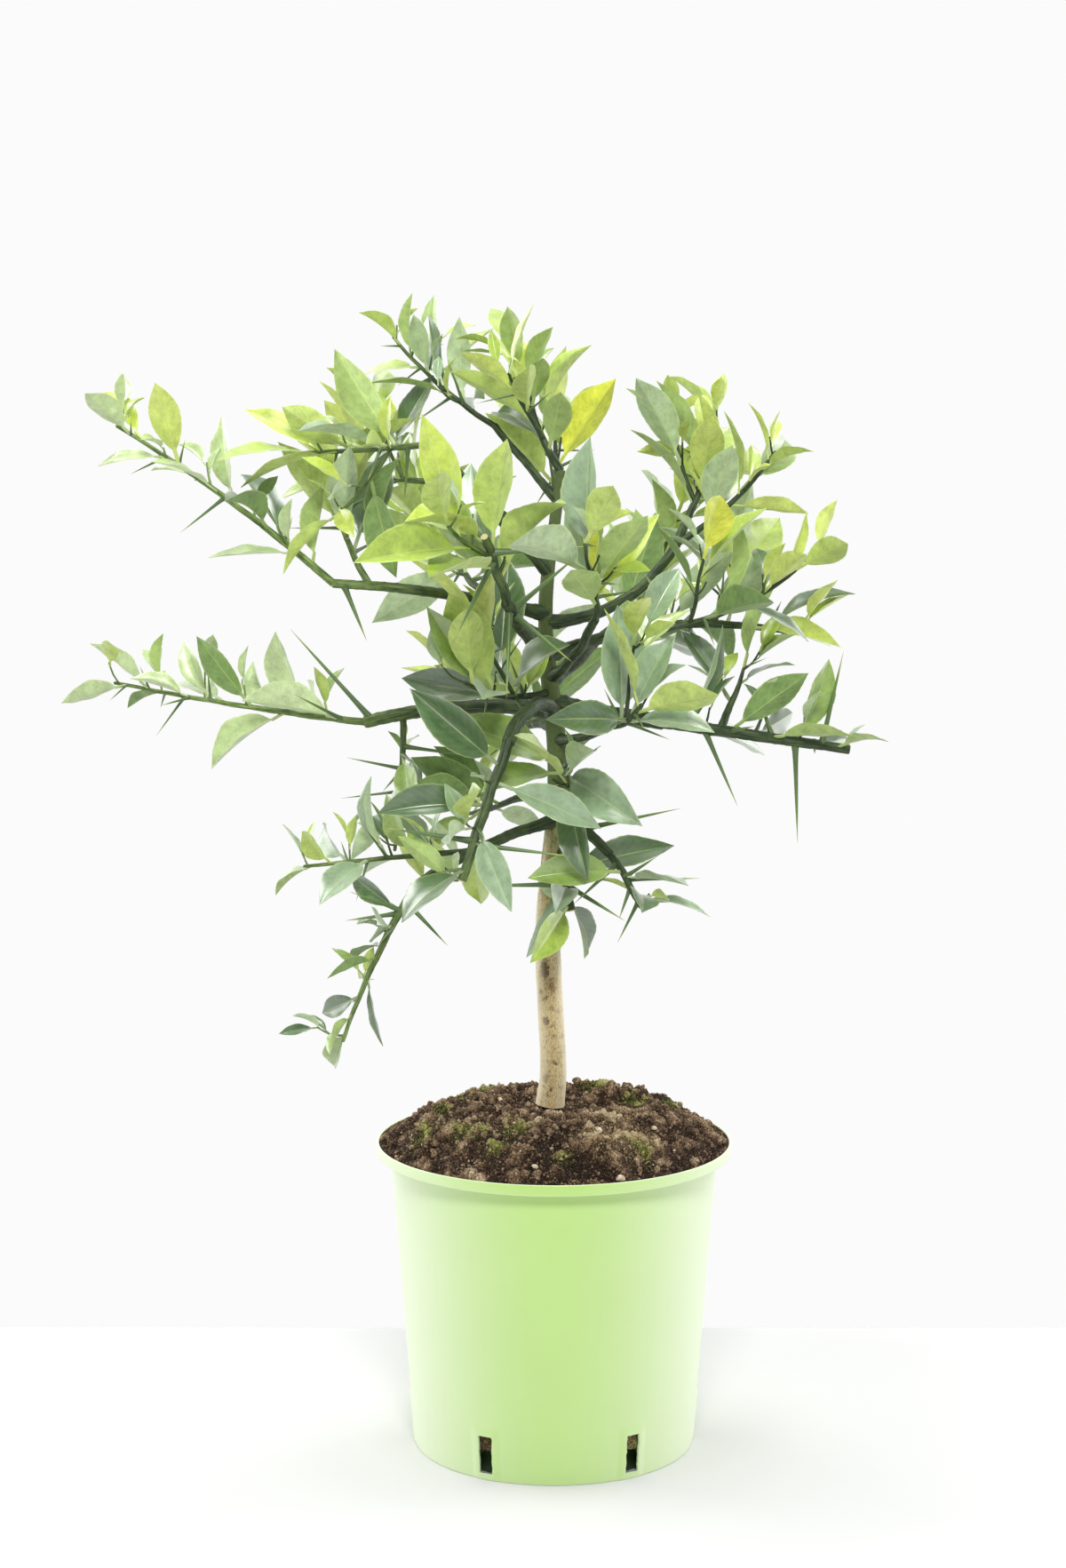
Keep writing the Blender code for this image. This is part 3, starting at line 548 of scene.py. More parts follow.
# %% The mound's sizes
GAP = 0.0003
GROUND = 0.2138
SOIL_EDGE = 0.1898
SOIL_FLAT = 0.058
SOIL_SEAT = 0.014
SOIL_STEP = 0.0011
SPOKE_SPREAD = 1.4
CLOD_COUNT = 26
CLOD_SEED = 4
CLOD_RISE = 0.45
CLOD_REACH = (0.03, 0.09)
CLOD_SIZE = (0.006, 0.013)
BEND_DEPTH = 0.006
LUMP_DEPTH = 0.0062
CRACK_DEPTH = 0.0024
CRACK_WIDTH = 0.14
CRUMB_DEPTH = 0.0020
RELIEF_LIFT = 0.0003
RELIEF_SHADE_SPAN = 0.006
EDGE_FADE = 0.004
SIDE_DEPTH = 0.0011
SIDE_SHADE = 0.2
SLOPE_POWER = 1.8
CALM_SHARE = 0.35
BEND_WAVES, LUMP_WAVES, CRACK_WAVES, CRUMB_WAVES, SIDE_WAVES = 60, 70, 85, 420, 260

# %% The mound's relief
def inside(radius):
    """The compost keeps a small gap to the pot's inner wall."""
    return radius - POT_WALL - GAP


def soil_height(radius):
    """The mound is nearly flat round the trunk and falls to the rim."""
    slope = limited((radius - SOIL_FLAT) / (RIM_RADIUS - SOIL_FLAT))
    return GROUND - GAP - (GROUND - SOIL_EDGE) * slope ** SLOPE_POWER


def clod_table():
    draw = random.Random(CLOD_SEED)
    clods = []
    for number in range(CLOD_COUNT):
        reach, turn = draw.uniform(*CLOD_REACH), draw.uniform(0, 2 * math.pi)
        clods.append((reach * math.cos(turn), reach * math.sin(turn), draw.uniform(*CLOD_SIZE)))
    return clods


CLODS = clod_table()


def relief(x, y):
    """The height of the compost at a spot, and how far it stands out there, from 0 to 1, which sets the
    painted shade of its colour.
    """
    radius = math.hypot(x, y)
    near = [(size, math.exp(-((x - a) ** 2 + (y - b) ** 2) / size ** 2)) for a, b, size in CLODS]
    clods = sum(CLOD_RISE * size * share for size, share in near)
    bend = noise.noise(Vector((x, y, 0.1)) * BEND_WAVES) * BEND_DEPTH
    lumps = noise.turbulence(Vector((x + bend, y - bend, 0.3)) * LUMP_WAVES, 5, False)
    cracks = abs(noise.noise(Vector((x - bend, y + bend, 0.5)) * CRACK_WAVES))
    crumbs = noise.turbulence(Vector((x, y, 0.7)) * CRUMB_WAVES, 3, True)
    rough = LUMP_DEPTH * (lumps - 0.5) - CRACK_DEPTH * max(0.0, 1.0 - cracks / CRACK_WIDTH)
    rough = rough + CRUMB_DEPTH * (crumbs - 0.5) + RELIEF_LIFT
    calm = limited((radius - SOIL_SEAT) / SOIL_SEAT)
    fade = min(1.0, (inside(RIM_RADIUS) - radius) / EDGE_FADE)
    height = soil_height(radius) + clods * calm + rough * (CALM_SHARE + (1 - CALM_SHARE) * calm) * fade
    return height, limited(0.5 + rough / RELIEF_SHADE_SPAN)


# %% The mound's mesh
def soil_mesh():
    """Rings of points from the middle to the pot's wall, down the wall and in along the pot's floor."""
    edge, floor = inside(RIM_RADIUS), POT_WALL + GAP
    step, shelf = POT_HEIGHT - COLLAR_DEPTH + POT_WALL + GAP, SHELF_HEIGHT + GAP
    ring_count = round(edge / SOIL_STEP)
    spokes = round(2 * math.pi * edge / SOIL_STEP / SPOKE_SPREAD)
    turns = [2 * math.pi * spoke / spokes for spoke in range(spokes)]
    height, lift = relief(0.0, 0.0)
    points, relief_shades = [(0.0, 0.0, height)], [lift]
    for ring in range(1, ring_count + 1):
        radius = edge * ring / ring_count
        for turn in turns:
            x, y = radius * math.cos(turn), radius * math.sin(turn)
            height, lift = relief(x, y)
            points.append((x, y, height))
            relief_shades.append(lift)
    depths = [*np.linspace(step, 0.034, 14), *np.linspace(0.031, shelf, 8)]
    sides = [(edge, step)] + [(inside(wall_radius(z)), z) for z in depths]
    sides += [(inside(SHELF_RADIUS), shelf), (inside(WELL_RADIUS), floor), (0.001, floor)]
    for radius, z in sides:
        for turn in turns:
            x, y = math.cos(turn), math.sin(turn)
            rough = abs(SIDE_DEPTH * noise.noise(Vector((x * radius, y * radius, z)) * SIDE_WAVES))
            points.append(((radius - rough) * x, (radius - rough) * y, z))
            relief_shades.append(SIDE_SHADE)
    faces = [(0, 1 + spoke, 1 + (spoke + 1) % spokes) for spoke in range(spokes)]
    last = 1 + (ring_count + len(sides) - 1) * spokes
    for start in range(1, last, spokes):
        for spoke in range(spokes):
            a, b = start + spoke, start + (spoke + 1) % spokes
            faces.append((a, a + spokes, b + spokes, b))
    faces.append(tuple(last + spoke for spoke in range(spokes - 1, -1, -1)))
    mesh = bpy.data.meshes.new("soil_mound")
    mesh.from_pydata(points, [], faces)
    # The attribute lift is the compost's painted shade: low in hollows, high on lumps, and dark down the
    # sides.
    mesh.attributes.new("lift", "FLOAT", "POINT").data.foreach_set("value", relief_shades)
    return mesh


# %% The compost's finish
MOSS_SPOTS = (
    (-0.062, 0.020, 0.016), (-0.070, -0.002, 0.013), (-0.050, -0.046, 0.024), (-0.024, -0.050, 0.022),
    (-0.034, -0.070, 0.017), (0.050, 0.016, 0.016), (-0.078, -0.040, 0.017), (0.004, -0.086, 0.012),
    (0.030, 0.060, 0.024), (-0.040, 0.070, 0.022), (0.074, 0.030, 0.015), (0.052, -0.070, 0.016),
)
DRY_SPOTS = (
    (0.034, -0.068, 0.026), (0.018, -0.060, 0.014), (0.040, -0.024, 0.018), (-0.060, 0.040, 0.022),
    (0.052, -0.060, 0.016),
)
# EARTH is read by a tone of noise and, on the mound, relief height, so its dark end is painted shade in the
# hollows.
EARTH = ((0.37, (28, 20, 15)), (0.45, (96, 74, 56)), (0.53, (144, 121, 95)), (0.62, (206, 189, 160)))
MOSS = ((0.36, (52, 60, 24)), (0.46, (130, 140, 58)), (0.56, (200, 204, 122)))
GRIT = ((0.35, (72, 56, 40)), (0.44, (160, 136, 98)), (0.54, (218, 200, 160)))
STONE = ((0.35, (140, 120, 94)), (0.52, (196, 180, 154)), (0.66, (228, 218, 198)))


def soil_finish(name, loose):
    """Brown peat with painted shade, near black in the mound's hollows and paler on its lumps, with tufts of
    moss and dry patches.
    """
    material, tree, shader = finish(name, chip(70, 52, 40), 0.95, specular=0.2)
    place = object_place(tree)
    fine = clouds(place, 900.0, detail=5.0, roughness=0.7)
    # On loose crumbs the tone is noise alone. On the mound it follows the attribute lift, the relief's
    # height, as painted shade: near black in the hollows and paler on the lumps.
    if loose:
        high = clouds(place, 240.0, detail=2.0)
    else:
        high = add_node(tree, "ShaderNodeAttribute", output="Fac", attribute_name="lift")
    tone = fine * 0.62 + high * 0.24 + clouds(place, 26.0) * 0.14
    ragged = clouds(place, 230.0, detail=6.0, roughness=0.85)
    mossy, dusty = near_spots(place, MOSS_SPOTS), near_spots(place, DRY_SPOTS)
    moss = between(mossy * 0.6 + ragged * 2.2, 1.40, 1.56) * between(mossy, 0.0, 0.15)
    dry = between(dusty * 0.6 + ragged * 2.0, 1.12, 1.42) * between(dusty, 0.0, 0.15)
    ground = blend(dry * 0.75, ramp(tone, *EARTH), ramp(tone, *GRIT))
    drive(shader, "Base Color", blend(moss * 0.62, ground, ramp(tone, *MOSS)))
    bump(shader, fine, 0.0008)
    return material


compost = soil_finish("compost", False)
mound = mesh_object("soil_mound", soil_mesh(), compost)
smooth(mound, 180)

# %% [markdown]
# ### Crumbs and stones
#
# Crumbs are small lumps of the same compost. One tree scatters them: points are dealt over the mound's top,
# each gets a lump of its own size and turn, and the lumps are made real. The same tree with a pale finish
# and a low density gives the stones. A few larger pebbles are set one by one where the photo shows them.

# %% Crumbs scattered by Geometry Nodes
LEVEL_FACE = 0.15


def crumb_tree():
    """Lumps of their own size and turn on the mound's upper faces, clear of the pot's wall."""
    inputs = {
        "Density": "Float", "Smallest": "Float", "Largest": "Float",
        "Detail": "Int", "Seed": "Int", "Material": "Material",
    }
    tree, given = geometry_tree("crumbs", inputs)
    smallest, largest, seed = given["Smallest"], given["Largest"], given["Seed"]
    place = add_node(tree, "GeometryNodeInputPosition")
    x, y, high = parts(place)
    upward = parts(add_node(tree, "GeometryNodeInputNormal"), "Z")[0]
    clear = (x * x + y * y).maths("LESS_THAN", (RIM_RADIUS - POT_WALL - largest) ** 2.0)
    level = upward.maths("GREATER_THAN", LEVEL_FACE)
    shown = level * high.maths("GREATER_THAN", SOIL_EDGE - 0.002) * clear
    sockets = {"Mesh": given["Geometry"], "Selection": shown, "Density": given["Density"], "Seed": seed}
    spots = add_node(tree, "GeometryNodeDistributePointsOnFaces", sockets)
    sockets = {"Radius": 1.0, "Subdivisions": given["Detail"]}
    lump = add_node(tree, "GeometryNodeMeshIcoSphere", sockets)
    sockets = {"Geometry": lump, "Position": place * (clouds(place, 1.9) * 1.3 + 0.3)}
    lump = add_node(tree, "GeometryNodeSetPosition", sockets)
    share = add_node(tree, "FunctionNodeRandomValue", {2: 0.0, 3: 1.0, "Seed": seed}, 1, data_type="FLOAT")
    size = smallest + (largest - smallest) * share ** 4.0
    flat = add_node(tree, "ShaderNodeCombineXYZ", {0: size, 1: size * 0.85, 2: size * 0.7})
    sockets = {0: (0.0,) * 3, 1: (6.28,) * 3}
    turn = add_node(tree, "FunctionNodeRandomValue", sockets, data_type="FLOAT_VECTOR")
    sockets = {"Points": spots, "Instance": lump, "Rotation": turn, "Scale": flat}
    return end_tree(add_node(tree, "GeometryNodeInstanceOnPoints", sockets), given["Material"])


def scatter(name, density, smallest, largest, detail, seed, material):
    """Scatters lumps over the mound and keeps them as one mesh."""
    obj = mesh_object(name, mound.data.copy())
    values = {
        "Density": density, "Smallest": smallest, "Largest": largest,
        "Detail": detail, "Seed": seed, "Material": material,
    }
    grow_nodes(obj, CRUMBS, values)
    smooth(obj, 180)
    return obj


def stone_finish():
    material, tree, shader = finish("stone", chip(196, 180, 154), 0.7)
    drive(shader, "Base Color", ramp(clouds(object_place(tree), 420.0, detail=4.0), *STONE))
    return material


# %% Pebbles
PEBBLES = (
    (-0.034, 0.014, 0.0024), (0.026, -0.052, 0.0028), (0.0385, -0.0970, 0.0027), (0.040, -0.022, 0.0018),
    (-0.012, -0.090, 0.0021), (0.060, -0.050, 0.0016), (-0.058, 0.050, 0.0026), (0.020, 0.078, 0.0023),
)
PEBBLE_GIRTH = ((0.9, 1.15), (0.8, 1.0), (0.75, 0.95))
PEBBLE_RISE = 0.25
PEBBLE_DENT = 0.22
PEBBLE_SEED = 6


def pebble_mesh():
    """A few larger stones, each half sunk in the compost where the photo shows one, and three behind."""
    build = bmesh.new()
    draw = random.Random(PEBBLE_SEED)
    for x, y, size in PEBBLES:
        made = bmesh.ops.create_icosphere(build, subdivisions=3, radius=1.0)
        centre = Vector((x, y, relief(x, y)[0] + size * PEBBLE_RISE))
        girth = Vector([size * draw.uniform(*limits) for limits in PEBBLE_GIRTH])
        for vertex in made["verts"]:
            dent = 1.0 + PEBBLE_DENT * noise.noise(vertex.co * 1.3 + Vector((x, y, 0.0)) * 900)
            vertex.co = centre + Vector(a * b for a, b in zip(vertex.co, girth)) * dent
    return built("pebbles", build)


# %% Scatter them
CRUMBS = crumb_tree()
loose = soil_finish("crumbs", True)
crumbs = scatter("soil_crumbs", 110000.0, 0.0004, 0.0013, 1, 3, loose)
lumps = scatter("soil_lumps", 22000.0, 0.0008, 0.0038, 2, 5, loose)
stone = stone_finish()
stones = scatter("stones", 1300.0, 0.0006, 0.0017, 2, 8, stone)
pebbles = mesh_object("pebbles", pebble_mesh(), stone)
smooth(pebbles, 180)

# %% [markdown]
# ## The growth rule
#
# A tree is a shape that follows a rule: limbs first, each from a named place on the one before, then twigs,
# thorns and leaves at buds that climb each stem in a spiral. Everything new is tested for room against what
# has grown. The rule and its seeds are those of the plain solids, so each leaf lands in the same place.

# %% Sizes of the trunk and of the rule
# The trunk, whose girth is given as height above the ground and radius
TRUNK_HEIGHT = 0.390
TRUNK_STEPS = 24
TRUNK_GIRTH = (
    (0.0, 0.0092), (0.008, 0.0085), (0.036, 0.0080), (0.111, 0.0077), (0.156, 0.0071),
    (0.216, 0.0063), (0.266, 0.0052), (0.296, 0.0045), (0.336, 0.0039), (TRUNK_HEIGHT, 0.0030),
)
WAVE_LENGTH = 0.205
WAVE_START = 0.094
WAVE_DEPTH = 0.0018
WAVE_GROWTH = 1.8
CROSS_DEPTH, CROSS_PACE = 1.2, 0.8
TRUNK_SHIFT = -0.0012
FLARE_LEAN = 0.0028
FLARE_HEIGHT = 0.012

# The growth rule
LIMB_SIDES = 6
TEST_SIDES = 5
THORN_SIDES = 3
BARE_FOOT = 0.012
BARE_SIDE_FOOT = 0.020
BOUGH_BUDS = 0.016
BOUGH_KINK = 5
SHOOT_BUDS = 0.014
SHOOT_KINK = 7
SPIRAL = 137.5
CLEARANCE = 0.0012
TWIG_STEPS = 3
TWIG_BUDS = 3
TWIG_TIP = 0.0010
TWIG_LEAN = (40, 65)
TWIG_LENGTH = (0.035, 0.055)
TWIG_SWING = 60
TWIG_RISE = 0.35
TWIG_ZIGZAG = 0.12
TWIG_GIRTH = 0.75
TWIG_START, TWIG_SPAN = 0.3, 0.5
BUD_SPREAD = (0.1, 0.5)
TWIG_BUD_START, TWIG_BUD_STEP = 0.45, 0.27
TWIG_AGE_START, TWIG_AGE_STEP = 0.4, 0.3
SIDE_GIRTH = 0.6
THORN_CHANCE = 0.55
THORN_REACH = 0.034
THORN_SHRINK = 0.020
THORN_FOOT = 0.0013
LONG_THORN_FOOT = 0.0016
THORN_POINT = 0.0002
THORN_ROOM = 0.003
THORN_SPREAD = (0.7, 1.3)
THORN_SLANT = (0.1, 0.6)
THORN_SWING = 35
PETIOLE = 0.17
PETIOLE_HALF = 0.0012
PETIOLE_DEPTH = 0.8
WIDEST = 0.54
WIDEST_HALF = 0.53
THINNEST_LEAF = 0.0007
LEAF_THICKNESS = 1 / 80
LEAF_LEAN = (35, 75)
LEAF_SWING = 30
LEAF_LIFT = (0.15, 0.75)
LEAF_ROLL = 55
LEAF_SPREAD = (0.82, 1.18)
LEAF_BREADTH = (0.44, 0.60)
LEAF_FOLD = (12, 34)
LEAF_CURL = (4, 38)
FACE_ALONG, FACE_UP, FACE_OUT = 0.5, 0.7, -0.1
OLDEST_SIZE = 1.05
YOUNG_LEAN = 20
YOUNG_SHRINK = 0.25
LEAF_TRIES = 8
TWIG_TRIES = 6
THORN_TRIES = 3

# %% Limbs, leaves and thorns as rows
# A leaf's age is its place on the stem: 0 at the foot and 1 at the tip, where the leaves are young
Limb = namedtuple("Limb", "name points radii parent")
Leaf = namedtuple("Leaf", "mass root along face length width fold curl age")
Thorn = namedtuple("Thorn", "limb root along length radius")


def table_of(kind, start, rows):
    """Rows of one kind, whose names all start alike."""
    return tuple(kind(start + name, *values) for name, *values in rows)


# %% Boughs
# A bough leaves the trunk at a distance up it. Its turn and lift are how far its heading and its rise swing
# to either side of their mean between foot and tip. Foot and tip are radii.
Bough = namedtuple("Bough", "name at heading rise length turn lift foot tip")
BOUGHS = table_of(Bough, "bough_", (
    ("right_low", 0.25, 9, -10, 0.07, -4, 1, 0.0052, 0.0048),
    ("right_mid", 0.279, 28, 13, 0.072, -6, -2, 0.0038, 0.0034),
    ("right_high", 0.3, 28, 30, 0.118, 14, 30, 0.0038, 0.0028),
    ("left_low", 0.246, 166, -5, 0.12, 6, -10, 0.0048, 0.004),
    ("left_mid", 0.305, -164, 9, 0.134, -8, -6, 0.0038, 0.0027),
    ("left_high", 0.338, 148, 30, 0.092, 4, -14, 0.003, 0.0023),
    ("upper_left", 0.33, -140, 42, 0.118, -2, 3, 0.0032, 0.0023),
    ("top_left", 0.374, 142, 42, 0.066, 6, 2, 0.0027, 0.0021),
    ("front_low", 0.243, -112, -6, 0.082, -6, -40, 0.0044, 0.004),
    ("front_high", 0.281, -107, 24, 0.09, 0, 12, 0.0039, 0.0035),
    ("front_right", 0.266, -70, 29, 0.085, -8, 6, 0.0032, 0.0025),
    ("front_right_low", 0.228, -66, 12, 0.075, 2, 8, 0.003, 0.0024),
    ("low_left", 0.178, -141, -15, 0.115, -2, -10, 0.0036, 0.0027),
    ("low_right", 0.181, -45, -24, 0.048, -4, -14, 0.0034, 0.003),
    ("back_low", 0.232, 98, -2, 0.075, 6, -4, 0.0038, 0.003),
    ("back_right", 0.262, 58, 22, 0.07, 6, 4, 0.0034, 0.0027),
    ("back_left", 0.29, 124, 20, 0.075, -6, 4, 0.0034, 0.0026),
    ("back_high", 0.332, 84, 42, 0.062, 4, 6, 0.003, 0.0023),
    ("low_back", 0.19, 118, -6, 0.055, 6, -12, 0.003, 0.0024),
))

# %% Shoots
# A shoot is the stem of a mass of leaves: it goes on from its parent's tip, or leaves it at a distance.
Shoot = namedtuple("Shoot", "name parent at heading rise length turn lift foot tip leaves twigs size seed")
SHOOTS = table_of(Shoot, "leaves_", (
    ("right_low", "bough_right_low", None, 5, -9, 0.118, 0, 0, 0.0041, 0.003, 8, 1, 0.062, 57),
    ("right_mid", "bough_right_mid", None, 20, -4, 0.104, -4, -6, 0.0028, 0.002, 7, 1, 0.068, 113),
    ("right_fork", "bough_right_mid", 0.054, -12, 22, 0.13, -6, 22, 0.0024, 0.0012, 8, 1, 0.06, 46),
    ("right_high", "bough_right_high", 0.104, 8, 42, 0.085, 6, 12, 0.0022, 0.0011, 7, 0, 0.056, 174),
    ("top_right", "bough_right_high", None, 46, 62, 0.052, 10, 8, 0.0026, 0.0014, 7, 2, 0.066, 176),
    ("left_low", "bough_left_low", None, 160, 6, 0.176, 8, 4, 0.0024, 0.0011, 12, 0, 0.054, 3),
    ("left_hang", "bough_left_low", 0.096, 182, -86, 0.085, 0, 4, 0.0022, 0.0011, 6, 1, 0.052, 170),
    ("left_far", "bough_left_mid", None, 179, 36, 0.158, 2, -5, 0.0024, 0.0011, 12, 0, 0.056, 127),
    ("left_mid", "bough_left_mid", 0.112, 150, 66, 0.072, 0, 12, 0.0022, 0.0011, 6, 1, 0.06, 168),
    ("left_high", "bough_left_high", None, 166, 6, 0.08, 4, 6, 0.0021, 0.001, 7, 1, 0.06, 125),
    ("upper_left", "bough_upper_left", None, 172, -4, 0.082, 6, 2, 0.0021, 0.0011, 8, 1, 0.062, 53),
    ("top_left", "bough_top_left", None, 156, 38, 0.088, 4, 10, 0.0019, 0.001, 8, 1, 0.05, 19),
    ("top", "trunk", None, 160, 68, 0.058, -30, 12, 0.0027, 0.0012, 8, 2, 0.058, 107),
    ("front_low", "bough_front_low", None, -128, -60, 0.088, -2, -4, 0.0034, 0.0028, 6, 0, 0.068, 57),
    ("front_high", "bough_front_high", None, -107, 44, 0.058, 0, 0, 0.0029, 0.0026, 6, 1, 0.072, 24),
    ("front_mid", "trunk", 0.258, -128, 8, 0.085, 6, 16, 0.0024, 0.0013, 7, 1, 0.072, 23),
    ("front_right", "bough_front_right", None, -92, 44, 0.036, 0, 10, 0.0022, 0.0014, 6, 1, 0.07, 64),
    ("front_right_low", "bough_front_right_low", None, -62, 24, 0.04, 0, 20, 0.0022, 0.0014, 6, 1, 0.07, 128),
    ("low_left", "bough_low_left", None, -154, -62, 0.1, 4, -6, 0.0026, 0.0011, 8, 0, 0.05, 20),
    ("low_left_out", "bough_low_left", 0.066, 176, -6, 0.105, -8, -2, 0.002, 0.001, 8, 0, 0.05, 145),
    ("low_right", "bough_low_right", None, -49, -46, 0.04, 0, -6, 0.0025, 0.0019, 5, 0, 0.06, 106),
    ("low_front", "trunk", 0.166, -66, -62, 0.046, 0, -8, 0.0034, 0.0029, 5, 0, 0.062, 138),
    ("front_centre", "trunk", 0.214, -84, -8, 0.055, 4, -8, 0.0024, 0.0015, 6, 0, 0.07, 70),
    ("back_low", "bough_back_low", None, 108, -2, 0.085, 8, 10, 0.0028, 0.0013, 8, 1, 0.064, 186),
    ("back_right", "bough_back_right", None, 62, 26, 0.085, 8, 12, 0.0025, 0.0012, 8, 2, 0.064, 161),
    ("back_left", "bough_back_left", None, 116, 24, 0.085, 4, 10, 0.0024, 0.0012, 8, 2, 0.064, 151),
    ("back_high", "bough_back_high", None, 88, 46, 0.062, 0, 14, 0.0021, 0.0011, 7, 1, 0.06, 28),
    ("low_back", "bough_low_back", None, 126, -16, 0.06, 4, 6, 0.0022, 0.0011, 6, 0, 0.056, 107),
))

# %% Long thorns
# These stand out of the outline
LongThorn = namedtuple("LongThorn", "limb at heading rise length")
LONG_THORNS = table_of(LongThorn, "", (
    ("bough_left_low", 0.116, 176, 48, 0.072),
    ("bough_right_high", 0.106, 150, 76, 0.052),
    ("bough_front_high", 0.084, -95, -66, 0.052),
    ("bough_front_high", 0.078, -35, -32, 0.046),
    ("bough_front_high", 0.081, -12, 40, 0.05),
    ("bough_low_right", 0.022, -18, 14, 0.06),
    ("bough_left_mid", 0.128, -30, -64, 0.034),
    ("leaves_right_low", 0.026, 10, -66, 0.05),
    ("leaves_right_low", 0.084, 0, -88, 0.06),
    ("leaves_right_low", 0.101, 12, 77, 0.056),
    ("leaves_right_low", 0.07, 160, 70, 0.026),
    ("leaves_front_high", 0.05, 150, 45, 0.05),
    ("leaves_front_high", 0.045, -8, 4, 0.058),
    ("leaves_front_high", 0.038, 200, -62, 0.05),
    ("leaves_front_low", 0.064, 176, 8, 0.052),
    ("leaves_front_low", 0.066, -6, -6, 0.054),
    ("leaves_front_low", 0.08, -160, -40, 0.042),
    ("leaves_left_hang", 0.02, 0, -8, 0.052),
    ("leaves_left_hang", 0.034, 170, 10, 0.034),
    ("leaves_left_hang", 0.048, 186, -6, 0.036),
    ("leaves_low_front", 0.016, 150, 10, 0.03),
    ("leaves_low_front", 0.03, 186, 0, 0.058),
    ("leaves_low_front", 0.03, -20, -28, 0.04),
    ("leaves_low_right", 0.008, 172, -44, 0.034),
    ("leaves_low_right", 0.02, -8, 2, 0.042),
    ("leaves_low_right", 0.036, 196, -62, 0.026),
    ("leaves_low_left", 0.01, -24, -42, 0.034),
    ("leaves_low_left", 0.018, 178, -8, 0.03),
    ("leaves_left_far", 0.082, 186, -38, 0.032),
    ("leaves_left_low", 0.128, 200, -52, 0.03),
))
print("the rule has", len(BOUGHS), "boughs,", len(SHOOTS), "shoots and", len(LONG_THORNS), "long thorns")

# %% Directions and places along a limb
def unit(vector):
    return vector / np.linalg.norm(vector)


def bearing(heading, rise):
    """The direction with a heading, where 0 is +X and 90 is +Y, and a rise above the level."""
    heading, rise = math.radians(heading), math.radians(rise)
    level = math.cos(rise)
    return np.array((math.cos(heading) * level, math.sin(heading) * level, math.sin(rise)))


UP = bearing(0, 90)


def around(along, degrees):
    """A direction square to a stem: 0 is its upper side, and the angle turns round the stem."""
    left = np.cross(UP, along)
    if np.linalg.norm(left) < 0.05:
        left = bearing(90, 0)
    left = unit(left - along * np.dot(left, along))
    turn = math.radians(degrees)
    return np.cross(along, left) * math.cos(turn) + left * math.sin(turn)


def distances(points):
    """How far along a line of points each of them lies."""
    steps = np.linalg.norm(np.diff(points, axis=0), axis=1)
    return np.concatenate(((0.0,), np.cumsum(steps)))


def spot(limb, distance):
    """The point, the direction and the radius of a limb at a distance from its foot."""
    arc = distances(limb.points)
    distance = min(max(distance, 0.0), arc[-1])
    step = min(int(np.searchsorted(arc, distance, side="right")), len(arc) - 1)
    along = unit(limb.points[step] - limb.points[step - 1])
    point = limb.points[step - 1] + along * (distance - arc[step - 1])
    return point, along, float(np.interp(distance, arc, limb.radii))


# %% Trunk and limbs
def grow_trunk():
    """The trunk stands up in slow waves that widen upwards, and leans out a little at its flared foot."""
    up = np.linspace(0.0, TRUNK_HEIGHT, TRUNK_STEPS + 1)
    turn = 2 * math.pi * (up - WAVE_START) / WAVE_LENGTH
    sway = WAVE_DEPTH * (1 + WAVE_GROWTH * up / TRUNK_HEIGHT)
    x = TRUNK_SHIFT - sway * np.cos(turn) - FLARE_LEAN * np.exp(-up / FLARE_HEIGHT)
    y = CROSS_DEPTH * WAVE_DEPTH * np.sin(CROSS_PACE * turn)
    heights, radii = zip(*TRUNK_GIRTH)
    return Limb("trunk", np.stack((x, y, GROUND + up), axis=1), np.interp(up, heights, radii), None)


def grow_limb(row, parent, buds, kink):
    """A bough or a shoot turns and lifts evenly as it goes, with a small kink at each bud."""
    steps = max(3, round(row.length / buds))
    points = [parent.points[-1] if row.at is None else spot(parent, row.at)[0]]
    for step in range(steps):
        swing = (2 * step + 1) / steps - 1
        heading = row.heading + row.turn * swing + kink * (-1) ** step
        points.append(points[-1] + bearing(heading, row.rise + row.lift * swing) * row.length / steps)
    return Limb(row.name, np.array(points), np.linspace(row.foot, row.tip, steps + 1), parent.name)


# %% The plain leaf and tube that test for room
def leaf_station(leaf, share):
    """A point of the midrib, with the directions along, across and out of the leaf's upper side there."""
    bend = leaf.curl * share
    forward = math.sin(bend) / leaf.curl
    drop = (1 - math.cos(bend)) / leaf.curl
    along = leaf.along * math.cos(bend) - leaf.face * math.sin(bend)
    face = leaf.face * math.cos(bend) + leaf.along * math.sin(bend)
    point = leaf.root + leaf.length * (leaf.along * forward - leaf.face * drop)
    return point, along, np.cross(face, along), face


def walls(rings, sides):
    """Four-sided faces between rings of points, from each ring to the next."""
    faces = []
    for start in range(0, (rings - 1) * sides, sides):
        for k in range(sides):
            a, b = start + k, start + (k + 1) % sides
            faces.append((a, b, b + sides, a + sides))
    return faces


def leaf_rings(leaf):
    """How far along the leaf its rings lie, with their half widths: two on the petiole, one on the blade."""
    return (0.0, PETIOLE_HALF), (PETIOLE, PETIOLE_HALF), (WIDEST, leaf.width * WIDEST_HALF)


